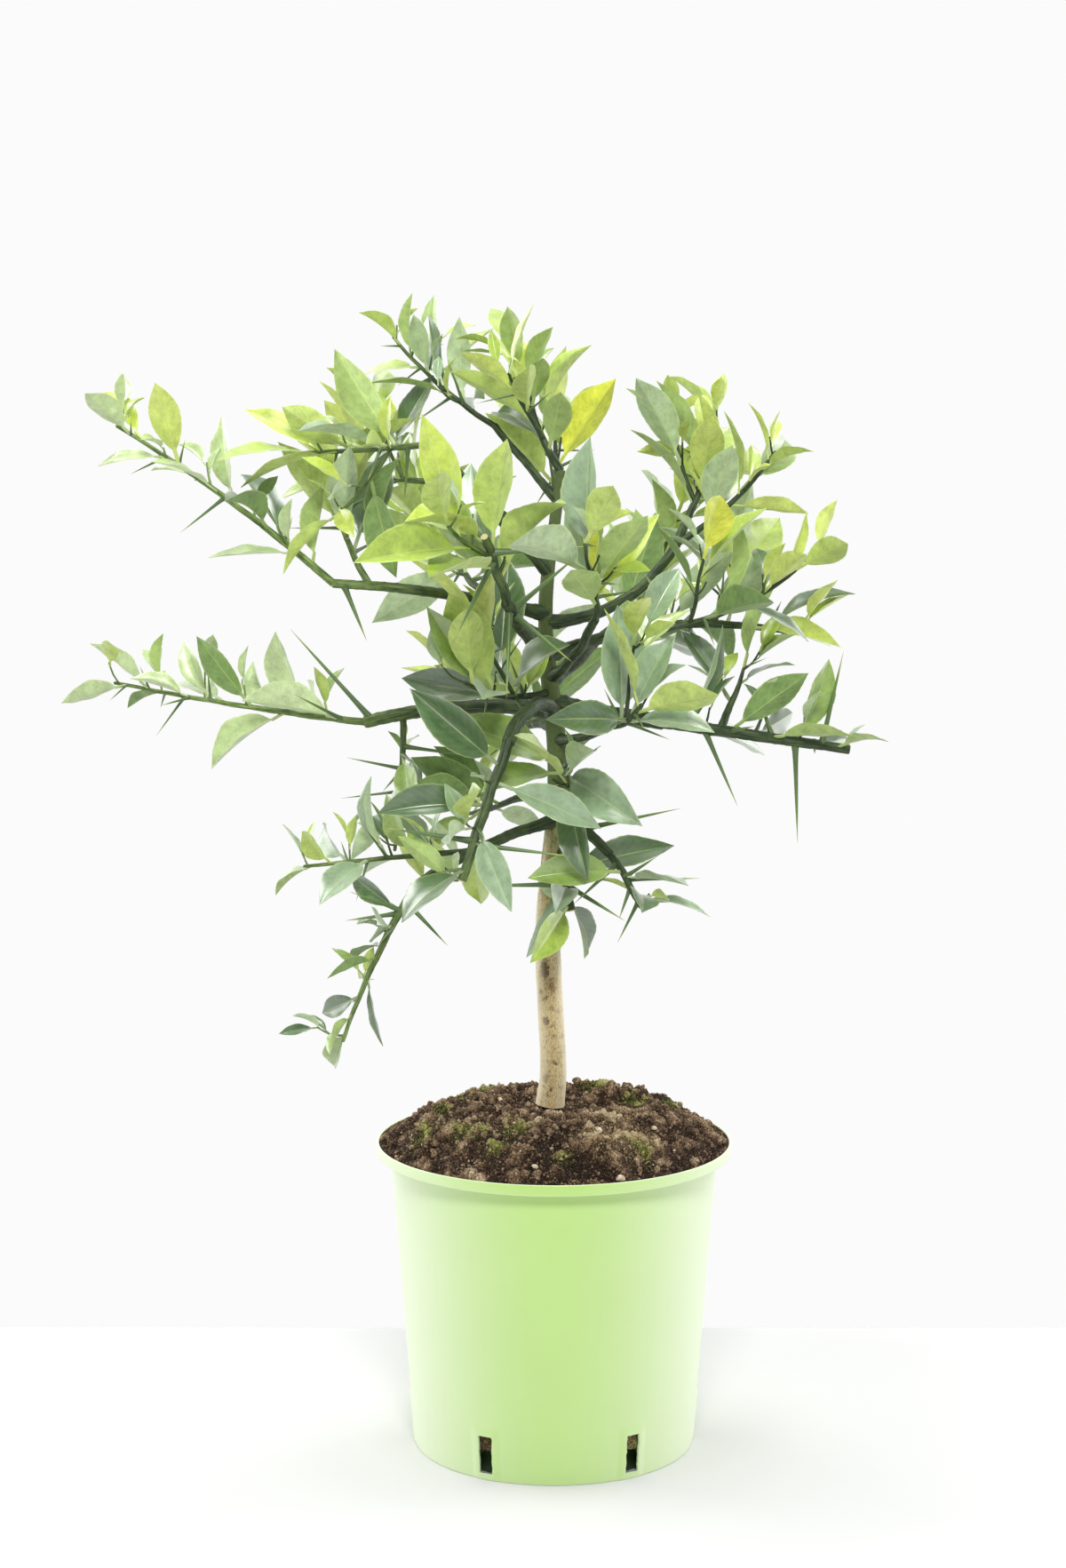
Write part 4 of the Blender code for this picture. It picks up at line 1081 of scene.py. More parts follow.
def leaf_shape(leaf, first_ring=0, swell=0.0):
    """A closed leaf, folded up along its midrib: four-sided rings that end in the pointed tip."""
    points = []
    rings = leaf_rings(leaf)[first_ring:]
    for share, half in rings:
        point, _, side, face = leaf_station(leaf, share)
        thick = max(THINNEST_LEAF, leaf.length * LEAF_THICKNESS) / 2 + swell
        lift = half * math.tan(leaf.fold)
        if half == PETIOLE_HALF:
            thick = max(thick, half * PETIOLE_DEPTH)
            lift = 0.0
        edge = side * (half + swell)
        points += [point - edge + face * lift, point - face * thick]
        points += [point + edge + face * lift, point + face * thick]
    points.append(leaf_station(leaf, 1.0)[0] + leaf.along * swell)
    last = len(points) - 5
    end = [(last + corner, last + (corner + 1) % 4, last + 4) for corner in range(4)]
    return np.array(points), [*walls(len(rings), 4), *end, (3, 2, 1, 0)]


def tube_shape(points, radii, sides, swell=0.0):
    """A closed tube, which stands for a stem, a twig or a thorn in the tests for room."""
    corners = []
    for i, (point, radius) in enumerate(zip(points, radii)):
        along = unit(points[min(i + 1, len(points) - 1)] - points[max(i - 1, 0)])
        corners += [point + around(along, 360 * k / sides) * (radius + swell) for k in range(sides)]
    ends = [tuple(range(sides - 1, -1, -1)), tuple(range(len(corners) - sides, len(corners)))]
    return np.array(corners), walls(len(points), sides) + ends


# %% Room
class Room:
    """What has grown already, so that the next twig, thorn or leaf can keep clear of it."""

    def __init__(self):
        self.taken = []

    def outline(self, shape):
        points, faces = shape
        centre = points.mean(axis=0)
        reach = np.linalg.norm(points - centre, axis=1).max()
        return BVHTree.FromPolygons([Vector(point) for point in points], faces), centre, reach

    def take(self, shape):
        self.taken.append(self.outline(shape))

    def is_free(self, shape):
        tree, centre, reach = self.outline(shape)
        for other, middle, span in self.taken:
            if np.linalg.norm(centre - middle) < reach + span and tree.overlap(other):
                return False
        return True

    def holds(self, shape_of, *values):
        """Whether a shape, swollen by the clearance, has room, which the shape itself then takes."""
        if not self.is_free(shape_of(*values, CLEARANCE)):
            return False
        self.take(shape_of(*values))
        return True


def thorn_grows(thorn, stem_radius, room):
    """Whether the thorn has room past its root in the stem."""
    root = thorn.root + thorn.along * (stem_radius + THORN_ROOM)
    ends = np.array((root, thorn.root + thorn.along * thorn.length))
    return room.holds(tube_shape, ends, (thorn.radius, THORN_POINT), THORN_SIDES)


# %% A leaf and a twig
def draw_leaf(row, draw, bud, angle, age):
    """A leaf leans out of its bud and up to the light, with its face rolled a little to one side."""
    point, along, _ = bud
    lean = math.radians(draw.uniform(*LEAF_LEAN) - YOUNG_LEAN * age)
    out = around(along, angle + draw.uniform(-LEAF_SWING, LEAF_SWING))
    size = row.size * (OLDEST_SIZE - YOUNG_SHRINK * age)
    axis = unit(along * math.cos(lean) + out * math.sin(lean) + UP * draw.uniform(*LEAF_LIFT))
    face = along * FACE_ALONG + UP * FACE_UP + out * FACE_OUT
    face = face - axis * np.dot(face, axis)
    if np.linalg.norm(face) < 0.1:
        face = np.cross(axis, out)
        face = face - axis * np.dot(face, axis)
    face = unit(face)
    roll = math.radians(draw.uniform(-LEAF_ROLL, LEAF_ROLL))
    face = face * math.cos(roll) + np.cross(axis, face) * math.sin(roll)
    length = size * draw.uniform(*LEAF_SPREAD)
    width = length * (1 - PETIOLE) * draw.uniform(*LEAF_BREADTH)
    fold = math.radians(draw.uniform(*LEAF_FOLD))
    curl = math.radians(draw.uniform(*LEAF_CURL))
    return Leaf(row.name, point, axis, face, length, width, fold, curl, age)


def draw_twig(row, draw, stem, distance, angle):
    """A side twig leaves the stem at a slant and zigzags upwards."""
    point, along, radius = spot(stem, distance)
    lean = math.radians(draw.uniform(*TWIG_LEAN))
    axis = unit(along * math.cos(lean) + around(along, angle) * math.sin(lean) + UP * TWIG_RISE)
    length = draw.uniform(*TWIG_LENGTH)
    points = [point]
    for step in range(TWIG_STEPS):
        axis = unit(axis + UP * TWIG_ZIGZAG + around(axis, 90) * TWIG_ZIGZAG * (-1) ** step)
        points.append(points[-1] + axis * length / TWIG_STEPS)
    radii = np.linspace(radius * TWIG_GIRTH, TWIG_TIP, TWIG_STEPS + 1)
    return Limb(row.name, np.array(points), radii, row.name)


# %% One mass of leaves, twigs and thorns
def grow_twigs(row, draw, stem, phase, room):
    """The twigs that have room on the stem, each with the angle at which it leaves."""
    twigs = []
    length = distances(stem.points)[-1]
    for place in range(row.twigs):
        distance = length * (TWIG_START + TWIG_SPAN * (place + draw.random()) / row.twigs)
        for attempt in range(TWIG_TRIES):
            angle = phase + 180 * place + draw.uniform(-TWIG_SWING, TWIG_SWING)
            twig = draw_twig(row, draw, stem, distance, angle)
            if room.holds(tube_shape, twig.points[1:], twig.radii[1:], TEST_SIDES):
                twigs.append((twig, angle))
                break
    return twigs


def grow_mass(row, limbs, room):
    """Buds climb the stem in a spiral, and its twigs add theirs. Each may bear a thorn and a leaf."""
    draw = random.Random(row.seed)
    stem = limbs[row.name]
    length = distances(stem.points)[-1]
    phase = draw.uniform(0, 360)
    bare = BARE_FOOT if row.at is None else BARE_SIDE_FOOT
    buds = []
    for k in range(row.leaves):
        share = (k + draw.uniform(*BUD_SPREAD)) / row.leaves
        buds.append((stem, bare + (length - bare) * share, phase + SPIRAL * k, share))
    twigs = grow_twigs(row, draw, stem, phase, room)
    for twig, angle in twigs:
        reach = distances(twig.points)[-1]
        for k in range(TWIG_BUDS):
            distance = reach * (TWIG_BUD_START + TWIG_BUD_STEP * k)
            buds.append((twig, distance, angle + SPIRAL * k, TWIG_AGE_START + TWIG_AGE_STEP * k))
    thorns, leaves = [], []
    for limb, distance, angle, age in buds:
        bud = spot(limb, distance)
        if draw.random() < THORN_CHANCE:
            thorns += grow_thorn(row, draw, bud, angle, age, room)
        leaves += grow_leaf(row, draw, bud, angle, age, room)
    return [twig for twig, _ in twigs], thorns, leaves


def grow_thorn(row, draw, bud, angle, age, room):
    point, along, radius = bud
    length = (THORN_REACH - THORN_SHRINK * age) * draw.uniform(*THORN_SPREAD) + radius
    for attempt in range(THORN_TRIES):
        side = around(along, angle + draw.uniform(-THORN_SWING, THORN_SWING))
        axis = unit(side + along * draw.uniform(*THORN_SLANT))
        thorn = Thorn(row.name, point, axis, length, min(radius * SIDE_GIRTH, THORN_FOOT))
        if thorn_grows(thorn, radius, room):
            return [thorn]
    return []


def grow_leaf(row, draw, bud, angle, age, room):
    for attempt in range(LEAF_TRIES):
        leaf = draw_leaf(row, draw, bud, angle, age)
        if room.holds(leaf_shape, leaf, 1):
            return [leaf]
    return []


# %% The whole tree
def grow_tree():
    """Every limb first, then the long thorns, then the masses one by one in the room that is left."""
    limbs = {"trunk": grow_trunk()}
    for row in BOUGHS:
        limbs[row.name] = grow_limb(row, limbs["trunk"], BOUGH_BUDS, BOUGH_KINK)
    for row in SHOOTS:
        limbs[row.name] = grow_limb(row, limbs[row.parent], SHOOT_BUDS, SHOOT_KINK)
    room = Room()
    for limb in limbs.values():
        room.take(tube_shape(limb.points, limb.radii, LIMB_SIDES))
    twigs, thorns, leaves = [], [], []
    for row in LONG_THORNS:
        point, _, radius = spot(limbs[row.limb], row.at)
        foot = min(radius * SIDE_GIRTH, LONG_THORN_FOOT)
        thorn = Thorn(row.limb, point, bearing(row.heading, row.rise), row.length + radius, foot)
        if thorn_grows(thorn, radius, room):
            thorns.append(thorn)
    for row in SHOOTS:
        for grown, kind in zip(grow_mass(row, limbs, room), (twigs, thorns, leaves)):
            kind += grown
    return limbs, twigs, thorns, leaves, room


limbs, twigs, thorns, leaves, room = grow_tree()
print(len(limbs), "limbs,", len(twigs), "twigs,", len(thorns), "thorns and", len(leaves), "leaves")

# %% [markdown]
# ### Finer twigs
#
# A living shoot also carries short spurs with small young leaves between its main buds, and a tuft at its
# tip. They grow by the same rule in the room that is left, and nothing may pass the box of the plain
# solids.

# %% Spurs with small leaves
SPUR_SEED = 71
SPUR_TRIES = 5
SPUR_SIZE = 0.52
SPUR_SPREAD = (0.75, 1.25)
SPUR_SPACING = 0.030
SPUR_START = 0.9
SPUR_RISE = 0.25
SPUR_HANG = -0.45
SPUR_SWING = 70
SPUR_SLANT = (0.2, 0.8)
SPUR_LIFT = (0.0, 0.6)
SPUR_LENGTH = (0.008, 0.020)
SPUR_RADII = (0.0010, 0.0006)
SPUR_SIDES = 4
SPUR_BUDS = (0.5, 0.85, 1.0)
SPUR_AGE = 0.75
SPUR_CLEARANCE = 0.0006
BOX_LOW, BOX_HIGH = (np.array(corner) for corner in CAD_BOX)


def in_the_box(points):
    return bool(np.all(points > BOX_LOW) and np.all(points < BOX_HIGH))


def small_leaf(row, draw, bud, angle, age):
    leaf = draw_leaf(row, draw, bud, angle, age)
    scale = SPUR_SIZE * draw.uniform(*SPUR_SPREAD)
    return leaf._replace(length=leaf.length * scale, width=leaf.width * scale)


def grow_spur(row, draw, limb, distance, angle, room):
    """A short twig with a leaf at its middle and two at its tip, if there is room for it."""
    point, along, radius = spot(limb, distance)
    for attempt in range(SPUR_TRIES):
        turn = angle + draw.uniform(-SPUR_SWING, SPUR_SWING)
        out = around(along, turn)
        if out[2] < SPUR_HANG:
            out = around(along, turn + 180)
        axis = unit(along * draw.uniform(*SPUR_SLANT) + out + UP * draw.uniform(*SPUR_LIFT))
        length = draw.uniform(*SPUR_LENGTH)
        tip = point + unit(axis + UP * SPUR_RISE) * length
        points = np.array([point, point + axis * length * 0.5, tip])
        radii = np.linspace(min(radius * SIDE_GIRTH, SPUR_RADII[0]), SPUR_RADII[1], len(points))
        spur = Limb(row.name, points, radii, row.name)
        free_end = points[1:], radii[1:], SPUR_SIDES
        if not in_the_box(points) or not room.is_free(tube_shape(*free_end, SPUR_CLEARANCE)):
            continue
        leaves = []
        for k, reach in enumerate(SPUR_BUDS):
            leaf = small_leaf(row, draw, spot(spur, length * reach), angle + SPIRAL * k, SPUR_AGE)
            if in_the_box(leaf_shape(leaf)[0]) and room.holds(leaf_shape, leaf, 1):
                leaves.append(leaf)
        if leaves:
            room.take(tube_shape(*free_end))
            return [spur], leaves
    return [], []


def grow_spurs(limbs, twigs, room):
    """Spurs between the buds of every shoot, and on its side twigs."""
    spurs, leaves, draw = [], [], random.Random(SPUR_SEED)
    for row in SHOOTS:
        for stem in [limbs[row.name]] + [twig for twig in twigs if twig.name == row.name]:
            reach = distances(stem.points)[-1]
            count = max(1, round(reach / SPUR_SPACING))
            for k in range(count):
                distance = reach * (k + SPUR_START) / count
                angle = SPIRAL * k + draw.uniform(0, 90)
                for grown, kind in zip(grow_spur(row, draw, stem, distance, angle, room), (spurs, leaves)):
                    kind += grown
    return spurs, leaves


spurs, small_leaves = grow_spurs(limbs, twigs, room)
print(len(spurs), "spurs with", len(small_leaves), "small leaves")

# %% [markdown]
# ## Bark
#
# Trunk, boughs and twigs are one kind of shape: a tube swept along a bent path, with a radius that changes.
# The relief is what tells them apart: long cracks and warts on the old trunk, three blunt ribs and swollen
# buds on green wood, and a swollen foot on each bough. So one sweep makes them all, and a relief function
# is handed to it. The sweep turns its rings as little as it can from one to the next, so the ribs run
# straight along the wood.

# %% An even path
def smooth_path(points, radii, step):
    """The path as an even curve through its points, with the radius and the distance of each."""
    whole = np.vstack((2 * points[0] - points[1], points, 2 * points[-1] - points[-2]))
    path, girth = [], []
    for i in range(len(points) - 1):
        a, b, c, d = whole[i:i + 4]
        count = max(2, math.ceil(np.linalg.norm(c - b) / step))
        for t in np.arange(count) / count:
            bow, twist = 2 * a - 5 * b + 4 * c - d, 3 * b - a - 3 * c + d
            path.append(0.5 * (2 * b + (c - a) * t + bow * t ** 2 + twist * t ** 3))
            girth.append(radii[i] + (radii[i + 1] - radii[i]) * t)
    path.append(points[-1])
    girth.append(radii[-1])
    return np.array(path), np.array(girth), distances(path)


def ring_frames(path):
    """The path's direction and two directions square to it at each point, turning as little as they can."""
    along = np.gradient(path, axis=0)
    along /= np.linalg.norm(along, axis=1)[:, None]
    side = unit(np.cross(along[0], bearing(17, 3)))
    sides = []
    for direction in along:
        side = unit(side - direction * np.dot(side, direction))
        sides.append(side)
    sides = np.array(sides)
    return along, sides, np.cross(along, sides)


# %% Many shapes joined in one mesh
class Joiner:
    """Gathers points, faces, finishes and grain coordinates of many shapes for one mesh."""

    def __init__(self):
        self.points, self.faces, self.kinds, self.grain = [], [], [], []

    def add(self, points, faces, kinds, grain):
        start = len(self.points)
        self.points += [tuple(point) for point in points]
        self.faces += [tuple(start + corner for corner in face) for face in faces]
        self.kinds += kinds
        self.grain += grain

    def mesh(self, name):
        mesh = bpy.data.meshes.new(name)
        mesh.from_pydata(self.points, [], self.faces)
        mesh.polygons.foreach_set("material_index", self.kinds)
        layer = mesh.uv_layers.new(name="grain")
        layer.data.foreach_set("uv", [value for corners in self.grain for pair in corners for value in pair])
        return mesh


# %% A tube with relief
CUT_END = (0.25, 0.88, 1.0)
POINTED_END = (0.9, 0.7, 0.6)


def sweep(joiner, points, radii, sides, step, relief_of, cut=False):
    """Adds a tube with relief. Its far end is a clean cut, or else runs out to a blunt point."""
    path, girth, way = smooth_path(points, radii, step)
    along, side, other = ring_frames(path)
    turns = np.arange(sides) * 2 * math.pi / sides
    rings = []
    for i in range(len(path)):
        reach = girth[i] * (1 + relief_of(turns, way[i], girth[i]))
        aside, ahead = np.outer(np.cos(turns) * reach, side[i]), np.outer(np.sin(turns) * reach, other[i])
        rings.append(path[i] + aside + ahead)
    blunt, shoulder, rise = CUT_END if cut else POINTED_END
    tip = path[-1] + along[-1] * girth[-1] * blunt
    rings.append(path[-1] + along[-1] * girth[-1] * blunt * rise + (rings[-1] - path[-1]) * shoulder)
    places = np.vstack((*rings, path[0], tip))
    faces, grain = walls(len(rings), sides), []
    kinds = [0] * len(faces)
    round_way = 2 * math.pi * girth[0]
    reach = [*way, way[-1] + girth[-1] * blunt]
    last = len(rings) - 1
    for near, far in zip(reach, reach[1:]):
        for k in range(sides):
            low, high = k / sides * round_way, (k + 1) / sides * round_way
            grain.append(((low, near), (high, near), (high, far), (low, far)))
    for ring, hub, kind in ((0, len(places) - 2, 0), (last, len(places) - 1, int(cut))):
        for k in range(sides):
            a, b = ring * sides + k, ring * sides + (k + 1) % sides
            faces.append((a, b, hub) if ring else (b, a, hub))
            kinds.append(kind)
            grain.append(((0.0, 0.0), (0.001, 0.0), (0.001, 0.001)))
    joiner.add(places, faces, kinds, grain)


# %% The reliefs, each depth as a part of the radius
CRACKS, WARTS, SWELLS = (0.045, 420, 60), (0.022, 900, 700), (0.06, 60, 26)
RIB_COUNT, RIB_DEPTH, RIB_TWIST = 3, 0.05, 25
BUD_DEPTH, BUD_TWIST, BUD_SHARPNESS = 0.10, 140, 12
GRAIN_DEPTH, GRAIN_ROUND, GRAIN_UPWARD = 0.04, 4, 90
COLLAR_SWELL = 0.26
COLLAR_FROM = 0.008
COLLAR_FADE = 0.005


def trunk_relief(turns, way, girth):
    """Long shallow cracks, small warts and slow swells."""
    values = []
    for a, b in zip(np.cos(turns) * girth, np.sin(turns) * girth):
        values.append(sum(depth * noise.noise(Vector((a * across, b * across, way * upward)))
                          for depth, across, upward in (CRACKS, WARTS, SWELLS)))
    return np.array(values)


def green_relief(turns, way, girth):
    """Three blunt ribs that wander round the wood, with swollen buds."""
    bud = math.cos(2 * math.pi * way / BOUGH_BUDS) ** BUD_SHARPNESS
    ribs = RIB_DEPTH * np.cos(RIB_COUNT * turns + RIB_TWIST * way)
    buds = BUD_DEPTH * bud * np.cos(turns + BUD_TWIST * way)
    circle = [(math.cos(turn) * GRAIN_ROUND, math.sin(turn) * GRAIN_ROUND) for turn in turns]
    grain = [noise.noise(Vector((x, y, way * GRAIN_UPWARD))) for x, y in circle]
    return ribs + buds + GRAIN_DEPTH * np.array(grain)


def bough_relief(turns, way, girth):
    """Green wood that swells to a collar where the bough leaves the trunk."""
    collar = COLLAR_SWELL * math.exp(-max(0.0, way - COLLAR_FROM) / COLLAR_FADE)
    return green_relief(turns, way, girth) + collar


# %% [markdown]
# ### The look of bark
#
# The young trunk is pale beige with fine brown dashes that run up it, and turns green where the crown
# starts. Green wood is smooth, with paler lines along its ribs, and gets fresher and paler towards the
# tips. A pruning cut is cream coloured.

# %% Bark of the trunk
GREEN_FROM = 0.372
WHITE = (255, 255, 255)
KNOTS = (
    (-0.0060, 0.3000, 0.0048, 0.0100), (-0.0052, 0.2677, 0.0034, 0.0040), (0.0016, 0.2412, 0.0018, 0.0016),
    (-0.0080, 0.2860, 0.0016, 0.0024), (-0.0020, 0.2250, 0.0015, 0.0020),
)


def knotted(tree):
    """Old bud scars on the trunk's front: ragged ovals, each with its x, z, half width and half height."""
    x, y, z = parts(add_node(tree, "ShaderNodeTexCoord", output="Object"))
    nearest = 0.0
    for knot_x, knot_z, half_width, half_height in KNOTS:
        aside, upward = (x - knot_x) * (1.0 / half_width), (z - knot_z) * (1.0 / half_height)
        nearest = (1.0 - (aside * aside + upward * upward) ** 0.5).maths("MAXIMUM", nearest)
    wrinkles = clouds(object_place(tree, (0.5, 0.5, 1.6)), 900.0, detail=4.0, roughness=0.8)
    ragged = between(nearest * 0.5 + wrinkles, 0.68, 0.78)
    return ragged * y.maths("LESS_THAN", 0.0) * between(nearest, 0.0, 0.2)


def stained(under, strength, stain):
    """A colour darkened by a stain, which leaves it alone where the stain is white."""
    sockets = {0: strength, 6: under, 7: stain}
    return add_node(under.tree, "ShaderNodeMix", sockets, 2, data_type="RGBA", blend_type="MULTIPLY")


def trunk_finish():
    """Pale beige with dashes, specks, worn patches and knots, green above, and a painted sheen towards its
    outline.
    """
    material, tree, shader = finish("pale_bark", chip(205, 182, 140), 0.72, specular=0.3)
    dashes = clouds(uv_place(tree, (1.0, 0.22, 1.0)), 1500.0, roughness=0.6)
    dots = clouds(uv_place(tree, (1.0, 0.7, 1.0)), 1300.0, detail=1.0)
    worn = clouds(uv_place(tree, (1.0, 1.6, 1.0)), 120.0)
    patches = clouds(uv_place(tree, (1.0, 0.5, 1.0)), 190.0)
    bark = blend(patches, chip(180, 157, 106), chip(216, 198, 148))
    bark = stained(bark, 0.75, ramp(dashes, (0.36, (112, 84, 50)), (0.50, WHITE)))
    bark = stained(bark, 0.7, ramp(dots, (0.33, (134, 102, 64)), (0.42, WHITE)))
    bark = stained(bark, 0.8, ramp(worn, (0.36, (168, 134, 90)), (0.45, WHITE)))
    knots = knotted(tree)
    height = parts(add_node(tree, "ShaderNodeTexCoord", output="Object"), "Z")[0]
    change = (height - GREEN_FROM) * 16.0 + (patches - 0.5) * 1.6
    green = add_node(tree, "ShaderNodeMath", {0: change}, operation="ADD", use_clamp=True)
    streaks = blend(dashes, chip(52, 70, 36), chip(112, 126, 76))
    bark = blend(knots * 0.9, bark, chip(86, 62, 36))
    drive(shader, "Base Color", blend(green, bark, streaks))
    # A painted sheen whitens the pale bark towards its outline.
    painted_sheen(material, (1.0 - green) * 0.75, chip(248, 238, 208))
    bump(shader, dashes - knots * 0.8, 0.0005)
    return material


# %% Green wood and cut wood
FRESH_FROM = (0.10, 0.22)


def green_finish(name):
    """Green wood: darker near the trunk and towards the right, and paler towards the tips."""
    material, tree, shader = finish(name, chip(68, 94, 44), 0.5, specular=0.35)
    streaks = clouds(uv_place(tree, (1.0, 0.06, 1.0)), 1100.0, detail=2.0)
    patches = clouds(uv_place(tree, (1.0, 1.0, 1.0)), 160.0, detail=2.0)
    x, y = parts(object_place(tree), "XY")
    fresh = between((x * x + y * y) ** 0.5 - x * 0.5, *FRESH_FROM)
    tone = streaks * 0.7 + patches * 0.3
    old = ramp(tone, (0.40, (30, 44, 26)), (0.66, (76, 94, 52)))
    young = ramp(tone, (0.40, (68, 94, 44)), (0.66, (140, 162, 86)))
    drive(shader, "Base Color", blend(fresh, old, young))
    bump(shader, streaks, 0.0002)
    return material


def cut_finish():
    material, tree, shader = finish("cut_wood", chip(214, 205, 150), 0.8, specular=0.2)
    rings = clouds(object_place(tree), 1400.0, detail=2.0)
    drive(shader, "Base Color", blend(rings, chip(172, 160, 104), chip(232, 226, 182)))
    return material


cut_wood = cut_finish()
pale_bark = trunk_finish()
bough_bark = green_finish("bough_bark")
twig_bark = green_finish("twig_bark")

# %% The trunk, the boughs and the twigs
STUB_RADIUS = 0.0017
TRUNK_SWEEP = (44, 0.0014)
BOUGH_SWEEP = (16, 0.0016)
STEM_SWEEP = (10, 0.002)
TWIG_SWEEP = (7, 0.003)
SPUR_SWEEP = (5, 0.005)


def swept_object(name, kinds_of_limbs, relief_of, materials):
    """One mesh of many swept limbs. Each kind has its own number of sides and spacing of rings."""
    joiner = Joiner()
    for limbs_of_kind, (sides, step) in kinds_of_limbs:
        for limb in limbs_of_kind:
            cut = limb.radii[-1] > STUB_RADIUS
            sweep(joiner, limb.points, limb.radii, sides, step, relief_of, cut)
    joiner.kinds = [min(kind, len(materials) - 1) for kind in joiner.kinds]
    obj = mesh_object(name, joiner.mesh(name), *materials)
    smooth(obj, 60)
    return obj


trunk = [([limbs["trunk"]], TRUNK_SWEEP)]
trunk_wood = swept_object("trunk_wood", trunk, trunk_relief, (pale_bark, cut_wood))
boughs = [([limbs[row.name] for row in BOUGHS], BOUGH_SWEEP)]
bough_wood = swept_object("bough_wood", boughs, bough_relief, (bough_bark,))
stems = [([limbs[row.name] for row in SHOOTS], STEM_SWEEP), (twigs, TWIG_SWEEP), (spurs, SPUR_SWEEP)]
stem_wood = swept_object("stem_wood", stems, green_relief, (twig_bark, cut_wood))

# %% [markdown]
# ## Thorns
#
# Each thorn is a stiff green needle that leaves its bud at a steep angle, keeps its girth for most of its
# length and ends in a yellow-brown point. There are 158, all alike but for their place, direction, length
# and girth, so they are points with those values as attributes, and Geometry Nodes put a needle on each.

# %% Values on points
def point_cloud(name, rows, fields, **more):
    """A point at the root of each row, with fields of the rows and more lists as named attributes."""
    mesh = bpy.data.meshes.new(name)
    mesh.from_pydata([tuple(row.root) for row in rows], [], [])
    columns = {field: [getattr(row, field) for row in rows] for field in fields}
    for title, column in (columns | more).items():
        column = np.array(column, dtype=float)
        kind, key = ("FLOAT_VECTOR", "vector") if column.ndim == 2 else ("FLOAT", "value")
        mesh.attributes.new(title, kind, "POINT").data.foreach_set(key, column.ravel())
    return mesh_object(name, mesh)


# %% A needle on each point
NEEDLE_TAPER = 1.9
NEEDLE_GIRTH, NEEDLE_POINT = 0.92, 0.025
FOOT_SWELL, FOOT_FADE = 0.75, 9.0


def thorn_tree():
    """A needle on each point, swollen at its foot, with its height kept as the attribute reach."""
    tree, given = geometry_tree("thorns", {"Sides": "Int", "Material": "Material"})
    sockets = {"Vertices": given["Sides"], "Side Segments": 9}
    sockets |= {"Radius Top": 1.0, "Radius Bottom": 1.0, "Depth": 1.0}
    cone = add_node(tree, "GeometryNodeMeshCone", sockets)
    place = add_node(tree, "GeometryNodeInputPosition")
    height = parts(place, "Z")[0]
    girth = (1.0 - height ** NEEDLE_TAPER) * NEEDLE_GIRTH + NEEDLE_POINT
    girth = girth + (1.0 - height) ** FOOT_FADE * FOOT_SWELL
    across, deep = parts(place * girth, "XY")
    shaped = add_node(tree, "ShaderNodeCombineXYZ", {0: across, 1: deep, 2: height})
    cone = add_node(tree, "GeometryNodeSetPosition", {"Geometry": cone, "Position": shaped})
    cone = stored(cone, "reach", height, "FLOAT")
    aim = {"Vector": attribute(tree, "along", "FLOAT_VECTOR")}
    turn = add_node(tree, "FunctionNodeAlignRotationToVector", aim, axis="Z")
    radius, length = attribute(tree, "radius"), attribute(tree, "length")
    scale = add_node(tree, "ShaderNodeCombineXYZ", {0: radius, 1: radius, 2: length})
    sockets = {"Points": given["Geometry"], "Instance": cone, "Rotation": turn, "Scale": scale}
    return end_tree(add_node(tree, "GeometryNodeInstanceOnPoints", sockets), given["Material"])


# %% The look of thorns
THORN_GREEN = (
    (0.0, (62, 82, 44)), (0.30, (72, 98, 52)), (0.72, (98, 128, 62)),
    (0.90, (168, 176, 92)), (0.98, (146, 104, 56)),
)


def thorn_finish():
    material, tree, shader = finish("thorn", chip(88, 116, 56), 0.4)
    reach = add_node(tree, "ShaderNodeAttribute", output="Fac", attribute_name="reach")
    green = ramp(reach, *THORN_GREEN)
    drive(shader, "Base Color", blend(clouds(object_place(tree), 160.0) * 0.5, green, chip(112, 134, 84)))
    return material


def keep_attributes(mesh, *names):
    """Drops the helper attributes that a tree leaves on its result."""
    kept = (*names, "sharp_edge", "sharp_face", "material_index")
    for title in [layer.name for layer in mesh.attributes]:
        layer = mesh.attributes[title]
        if not (layer.is_internal or layer.is_required or title in kept):
            mesh.attributes.remove(layer)


needles = point_cloud("thorns", thorns, ("along", "length", "radius"))
grow_nodes(needles, thorn_tree(), {"Sides": 8, "Material": thorn_finish()})
keep_attributes(needles.data, "reach")
smooth(needles, 60)

# %% [markdown]
# ## Leaves
#
# A citrus leaf is an oval blade on a short stalk: folded up along its midrib, curled back towards its
# pointed tip, with a finely scalloped edge, a glossy upper side and a paler underside. A flat pattern of
# one leaf holds its outline. The points of the crown carry where each leaf sits and how it is sized, folded
# and curled, and the tree bends a copy of the pattern on each of them by the same formula that placed the
# plain ones.

# %% The flat pattern of a leaf
ACROSS = (-1.0, -0.80, -0.42, -0.05, 0.05, 0.42, 0.80, 1.0)
BLADE_STEPS = 22
LEAF_SLIMNESS = 0.78
UPPER, UNDER = 0, 1


def outline(share):
    """Half the blade's width at a share of its length, as a part of its greatest half width."""
    fullness = 0.72 + 0.34 * share
    return LEAF_SLIMNESS * math.sin(math.pi * share ** 0.90) ** fullness


def leaf_stations():
    """Shares of the leaf's length, from foot to near the tip, with the blade's half width there."""
    stalk = [(PETIOLE * share, 0.0) for share in (0.0, 0.5, 0.96)]
    steps = (np.arange(BLADE_STEPS) + 0.25) / BLADE_STEPS
    return stalk + [(PETIOLE + (1 - PETIOLE) * t, outline(t)) for t in steps]


